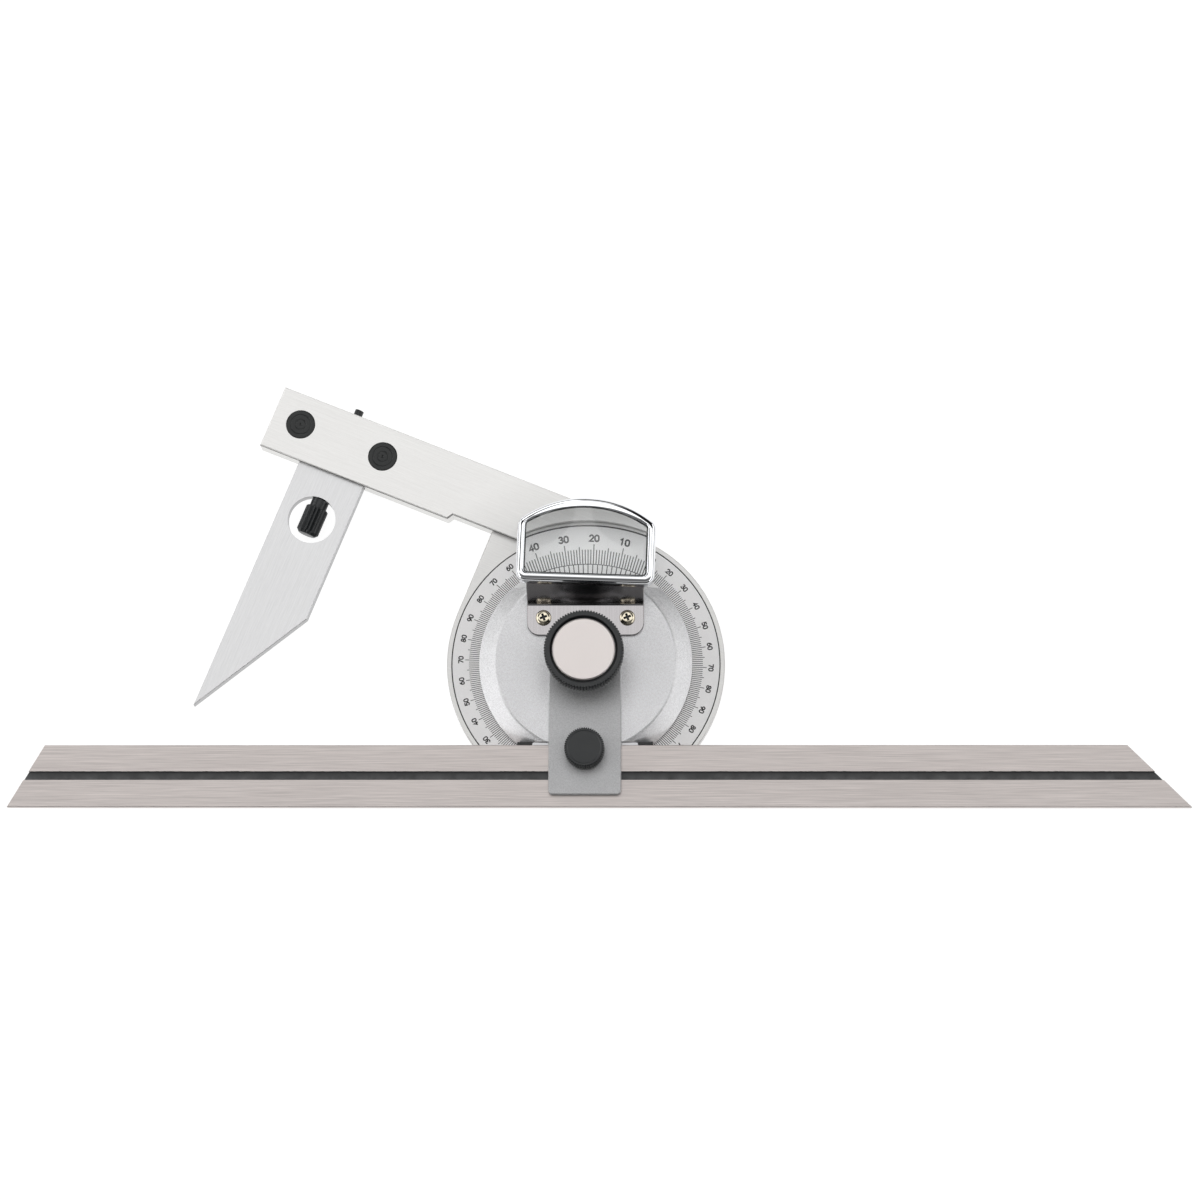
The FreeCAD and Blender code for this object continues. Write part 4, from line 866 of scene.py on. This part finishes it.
def make_bezel():
    """Chrome bezel, rounded on its outer edges and round its window."""
    values = settings("magnifier")
    foot_round, rounding, small = 0.5, values.bezel_round / MM, values.window_round / MM
    loops = [(BEZEL_OUTLINE, inward, up) for inward, up in quarter(foot_round, 4)]
    loops += [(BEZEL_OUTLINE, inward, BEZEL_DEPTH - down) for down, inward in quarter(rounding, 8)]
    loops += [(WINDOW_OUTLINE, -outward, BEZEL_DEPTH - down) for outward, down in quarter(small, 4)]
    points, faces = skin([*loops, (WINDOW_OUTLINE, 0.0, 0.0)])
    bezel = add_piece(
        "magnifier_bezel", points, faces, "bright_chrome", "turret", ("magnifier_frame",))
    bezel.modifiers.new("even_shading", "WEIGHTED_NORMAL").keep_sharp = True


def make_lens_seat():
    """Thin dark ring between the lens and its bezel: painted shade along the lens's edge."""
    play, inside, foot, head = 0.02, 0.3, 1.2, 3.35
    # Painted shade: a dark ring round the lens's edge
    steps = ((play, foot), (play, head), (inside, head), (inside, foot))
    points, faces = skin([(WINDOW_OUTLINE, shift, height) for shift, height in steps])
    add_piece("lens_edge_shade", points, faces, "black_oxide", "turret")


def lens_face(edge, summit, curve, peak, side, start):
    """One spherical face out to the edge: its points, its normals and its faces."""
    rings = 28
    count = len(edge)
    points = [Vector((summit.x, summit.y, peak))]
    normals = [Vector((0, 0, side))]
    faces = []
    for ring in range(1, rings + 1):
        for corner in edge:
            out = (corner - summit) * (ring / rings)
            fall = sqrt(curve ** 2 - out.length_squared)
            points.append(Vector((summit.x + out.x, summit.y + out.y, peak - side * (curve - fall))))
            normals.append(Vector((out.x, out.y, side * fall)).normalized())
    for at in range(count):
        beside = (at + 1) % count
        faces.append([start, start + 1 + at, start + 1 + beside][::side])
        for ring in range(rings - 1):
            first, second = start + 1 + ring * count, start + 1 + (ring + 1) * count
            faces.append([first + at, second + at, second + beside, first + beside][::side])
    return points, normals, faces


def make_lens():
    """Lens with true spherical faces and exact normals."""
    values = settings("magnifier")
    upper, lower = values.upper_curve / MM, values.lower_curve / MM
    play, thickness = 0.04, 0.9
    half, foot, shoulder, rise = WINDOW_OUTLINE[:4]
    edge = arch_outline(*WINDOW_OUTLINE, play)
    count = len(edge)
    middle = Vector((0.0, (foot + shoulder + rise) / 2))
    summit = middle + Vector((-1.2, -1.35))
    reach = hypot(half - play, middle.y - foot - play)
    crown = (BEZEL_DEPTH + thickness) / 2 + upper - sqrt(upper ** 2 - reach ** 2)
    below = (BEZEL_DEPTH - thickness) / 2 - lower + sqrt(lower ** 2 - reach ** 2)
    points, normals, faces, rims = [], [], [], []
    for curve, peak, side in ((upper, crown, 1), (lower, below, -1)):
        made = lens_face(edge, summit, curve, peak, side, len(points))
        points += made[0]
        normals += made[1]
        faces += made[2]
        rims.append(len(points) - count)
    start = len(points)
    for source in rims:
        for at in range(count):
            tangent = edge[(at + 1) % count] - edge[at - 1]
            points.append(points[source + at].copy())
            normals.append(Vector((tangent.y, -tangent.x, 0)).normalized())
    for at in range(count):
        beside = (at + 1) % count
        faces.append([start + at, start + count + at, start + count + beside, start + beside])
    points = moved([point * MM for point in points], MAGNIFIER)
    normals = moved(normals, MAGNIFIER.to_3x3())
    add_piece(
        "magnifier_glass", points, faces, "lens_clear", "turret", ("magnifier_lens",),
        180.0, normals)


def make_bracket_screws():
    """Pan-head screws with a tapered cross recess."""
    shank, rim, head_height = 1.1, 2.0, 1.15
    for node in ("bracket_screw_left", "bracket_screw_right"):
        low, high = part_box(node)
        foot, top = low.z / MM, high.z / MM
        base = top - head_height
        profile = [
            (0.0, foot), (shank, foot), (shank, base), (rim - 0.1, base), (rim, base + 0.1),
            (rim, base + 0.35), (rim - 0.06, base + 0.62), (rim - 0.22, base + 0.86),
            (rim - 0.5, base + 1.04), (rim - 0.9, base + 1.12), (rim - 1.5, top), (0.0, top),
        ]
        points, faces = lathe(profile, plain_columns=64)
        points = moved(points, shift_to(node))
        screw = add_piece(f"{node}_head", points, faces, "screw_nickel", "turret", (node,))
        cut_cross(screw, (low + high) / 2, top)


def cut_cross(screw, centre, top):
    """Cut a cross recess with sloping walls into a screw head."""
    span, width, depth, taper, turned = 2.7, 0.62, 1.6, 0.5, 0.35
    cutter = bmesh.new()
    for turn in (0.0, pi / 2):
        made = bmesh.ops.create_cube(cutter, size=1.0)["verts"]
        for corner in made:
            narrow = 1.0 if corner.co.z > 0 else taper
            corner.co = Vector((corner.co.x * span * narrow, corner.co.y * width, corner.co.z * depth))
        place = Matrix.Translation((centre.x, centre.y, (top + 0.05) * MM))
        spin = place @ Matrix.Rotation(turn + turned, 4, "Z")
        bmesh.ops.transform(cutter, matrix=spin @ Matrix.Scale(MM, 4), verts=made)
    mesh = bpy.data.meshes.new("cross_cutter")
    cutter.to_mesh(mesh)
    cutter.free()
    mesh.materials.append(FINISHES["black_oxide"])
    tool = add_object("cross_cutter", mesh)
    cut = screw.modifiers.new("cross_recess", "BOOLEAN")
    cut.operation = "DIFFERENCE"
    cut.solver = "EXACT"
    cut.use_self = True
    cut.material_mode = "TRANSFER"
    cut.object = tool
    bpy.context.view_layer.update()
    result = bpy.data.meshes.new_from_object(screw.evaluated_get(bpy.context.evaluated_depsgraph_get()))
    screw.modifiers.clear()
    screw.data = result
    bpy.data.objects.remove(tool)


def dress_frame():
    """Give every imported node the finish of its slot."""
    for row in frame["record"]["subparts"]:
        node = frame["nodes"][row["node"]]
        node.data.materials.clear()
        finish = OWN_FINISH.get(row["node"], row["material_slot"])
        node.data.materials.append(FINISHES[finish])


def aim(piece, target):
    """Turn a lamp so that it shines at a point."""
    piece.rotation_euler = (Vector(target) - piece.location).to_track_quat("-Z", "Y").to_euler()


def make_floor():
    """Pale floor that shows white and keeps a soft shadow."""
    values = settings("stage")
    reach, drop = 4.0, -0.00004
    glow_level, shadow_share = 0.94, 0.22
    mesh = bpy.data.meshes.new("floor")
    corners = [(-reach, -reach, drop), (reach, -reach, drop), (reach, reach, drop), (-reach, reach, drop)]
    mesh.from_pydata(corners, [], [(0, 1, 2, 3)])
    floor = add_object("floor", mesh)
    material = bpy.data.materials.new("pale_floor")
    tree = empty_tree(material)
    path = put(tree, "LightPath").outputs
    mirrored = maths(tree, "MAXIMUM", path["Is Glossy Ray"], path["Is Transmission Ray"])
    seen = maths(tree, "MAXIMUM", path["Is Camera Ray"], mirrored)
    dim = shade(values.floor_tint, shadow_share)
    lit = put(tree, "BsdfDiffuse", {"Color": (*values.floor_tint, 1.0)})
    faint = put(tree, "BsdfDiffuse", {"Color": (*dim, 1.0)})
    glow = put(tree, "Emission", {"Color": (1, 1, 1, 1), "Strength": glow_level})
    shown = put(tree, "AddShader", {0: faint, 1: glow})
    mixed = put(tree, "MixShader", {0: seen, 1: lit, 2: shown})
    put(tree, "OutputMaterial", {"Surface": mixed})
    mesh.materials.append(material)


def make_world():
    """A room bright above and behind the dial and dark at the horizon, white where the camera sees it."""
    values = settings("stage")
    # Height of the direction and the brightness there, from the floor to overhead
    stops = ((0.0, 0.05), (0.38, 0.03), (0.45, 0.8), (0.52, 1.0), (0.7, 1.05), (0.85, 1.62), (1.0, 1.66))
    dark_patch, patch_edge, clear_edge = (0.5, 0.58, 0.64), 0.92, 0.905
    world = bpy.data.worlds.new("studio")
    bpy.context.scene.world = world
    tree = empty_tree(world)
    direction = put(tree, "TexCoord").outputs["Generated"]
    parts = split(tree, direction)
    ramp = put(tree, "ValToRGB", {"Fac": parts["Z"]})
    elements = ramp.color_ramp.elements
    elements[0].position = stops[0][0]
    elements[1].position = stops[-1][0]
    for stop in stops[1:-1]:
        elements.new(stop[0])
    for element, stop in zip(elements, stops):
        element.color = (stop[1], stop[1], stop[1], 1.0)
    behind = spread(tree, parts["Y"], 0.1, 1.0, -0.15, 0.05)
    near_floor = spread(tree, parts["Z"], 0.4, 0.0, 0.6, 0.85)
    behind = maths(tree, "MAXIMUM", behind, near_floor)
    inputs = {"X": maths(tree, "ABSOLUTE", parts["X"]), "Y": parts["Y"], "Z": parts["Z"]}
    mirrored = put(tree, "CombineXYZ", inputs).outputs[0]
    flag = put(tree, "VectorMath", {0: mirrored, 1: dark_patch}, operation="DOT_PRODUCT")
    open_sky = spread(tree, flag.outputs["Value"], 1.0, 0.02, clear_edge, patch_edge)
    level = maths(tree, "MULTIPLY", maths(tree, "MULTIPLY", behind, open_sky), values.sky_level)
    light = put(tree, "Background", {"Color": ramp.outputs["Color"], "Strength": level})
    white = put(tree, "Background", {"Color": (1, 1, 1, 1), "Strength": 1.0})
    seen = put(tree, "LightPath").outputs["Is Camera Ray"]
    mixed = put(tree, "MixShader", {0: seen, 1: light, 2: white})
    put(tree, "OutputWorld", {"Surface": mixed})


def make_lamps():
    """A small soft lamp behind the dial and a long low one on either side."""
    values = settings("stage")
    lamps = (
        ("key_light", (-0.3, 0.74, 0.44), 0.5, 0.4, 0.4),
        ("left_light", (-0.8, 0.0, 0.36), 1.6, 0.3, 1.45),
        ("right_light", (0.8, 0.0, 0.36), 1.6, 0.3, 1.05),
    )
    for name, place, wide, high, share in lamps:
        lamp = bpy.data.lights.new(name, "AREA")
        lamp.shape = "RECTANGLE"
        lamp.size = wide
        lamp.size_y = high
        lamp.energy = values.key_power * share
        holder = add_object(name, lamp)
        holder.location = place
        aim(holder, (0, 0, 0))


def make_camera():
    """Camera at the photograph's viewing angle."""
    focal_pixels, picture_pixels, sensor = 3346.249, 1200, 36.0
    offset = Vector((-3.538, -17.153, -862.125)) * MM
    angles = (("X", -11.62), ("Y", -1.346), ("Z", -0.203))
    tilt, swing, spin = (Matrix.Rotation(radians(angle), 3, axis) for axis, angle in angles)
    turn = tilt @ swing @ spin
    lens = bpy.data.cameras.new("camera")
    lens.sensor_width = sensor
    lens.lens = focal_pixels / picture_pixels * sensor
    lens.clip_start = 0.01
    lens.clip_end = 20.0
    camera = add_object("camera", lens)
    camera.matrix_world = Matrix.Translation(-(turn.transposed() @ offset)) @ turn.transposed().to_4x4()
    bpy.context.scene.camera = camera


def set_view():
    """Show the colours without a film curve."""
    bpy.context.scene.view_settings.view_transform = "Standard"


class DressingStep:
    """What the operators share: each runs its own makers."""

    def execute(self, context):
        """Run the makers in order."""
        for make in self.makers:
            make()
        return {"FINISHED"}


class PROTRACTOR_OT_finishes(DressingStep, bpy.types.Operator):
    """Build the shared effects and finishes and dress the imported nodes"""

    bl_idname = "protractor.finishes"
    bl_label = "Finishes"
    makers = (brushed_grain_effect, speckle_effect, turning_effect, make_finishes, dress_frame)


class PROTRACTOR_OT_scale_marks(DressingStep, bpy.types.Operator):
    """Draw the graduations and numbers of the dial and the vernier"""

    bl_idname = "protractor.scale_marks"
    bl_label = "Scale marks"
    makers = (make_dial_marks, make_vernier_marks, make_gap_filling, make_wiper_strips)


class PROTRACTOR_OT_knobs(DressingStep, bpy.types.Operator):
    """Build the fluted knobs and the thumb screw"""

    bl_idname = "protractor.knobs"
    bl_label = "Knobs"
    makers = (make_dial_knob, make_blade_knob, make_thumb_screw)


class PROTRACTOR_OT_pins(DressingStep, bpy.types.Operator):
    """Build the locating pins and the bracket screws"""

    bl_idname = "protractor.pins"
    bl_label = "Pins and screws"
    makers = (make_pins, make_bracket_screws)


class PROTRACTOR_OT_magnifier(DressingStep, bpy.types.Operator):
    """Build the magnifier's bezel and lens"""

    bl_idname = "protractor.magnifier"
    bl_label = "Magnifier"
    makers = (make_bezel, make_lens_seat, make_lens)


class PROTRACTOR_OT_stage(DressingStep, bpy.types.Operator):
    """Set up the floor, the light and the camera"""

    bl_idname = "protractor.stage"
    bl_label = "Stage"
    makers = (make_floor, make_world, make_lamps, make_camera, set_view)


GROUPS = {
    "scale": ProtractorScaleSettings,
    "knob": ProtractorKnobSettings,
    "magnifier": ProtractorMagnifierSettings,
    "finish": ProtractorFinishSettings,
    "stage": ProtractorStageSettings,
}
OPERATORS = (
    PROTRACTOR_OT_finishes,
    PROTRACTOR_OT_scale_marks,
    PROTRACTOR_OT_knobs,
    PROTRACTOR_OT_pins,
    PROTRACTOR_OT_magnifier,
    PROTRACTOR_OT_stage,
)


class PROTRACTOR_PT_sidebar(bpy.types.Panel):
    """Values and steps of the protractor's dressing"""

    bl_idname = "PROTRACTOR_PT_sidebar"
    bl_label = "Bevel protractor"
    bl_space_type = "VIEW_3D"
    bl_region_type = "UI"
    bl_category = "Protractor"

    def draw(self, context):
        for name in GROUPS:
            values = settings(name)
            box = self.layout.box()
            box.label(text=name.title())
            for key in values.__annotations__:
                box.prop(values, key)
        for operator in OPERATORS:
            self.layout.operator(operator.bl_idname)


CLASSES = (*GROUPS.values(), *OPERATORS, PROTRACTOR_PT_sidebar)


def register():
    """Register the classes and attach the values to the scene."""
    for item in CLASSES:
        bpy.utils.register_class(item)
    for name, group in GROUPS.items():
        setattr(bpy.types.Scene, f"protractor_{name}", PointerProperty(type=group))


def unregister():
    """Take everything back in the opposite order."""
    for name in GROUPS:
        delattr(bpy.types.Scene, f"protractor_{name}")
    for item in reversed(CLASSES):
        bpy.utils.unregister_class(item)


def main():
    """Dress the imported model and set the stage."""
    register()
    bpy.ops.protractor.finishes()
    bpy.ops.protractor.scale_marks()
    bpy.ops.protractor.knobs()
    bpy.ops.protractor.pins()
    bpy.ops.protractor.magnifier()
    bpy.ops.protractor.stage()


if __name__ == "__main__":
    main()
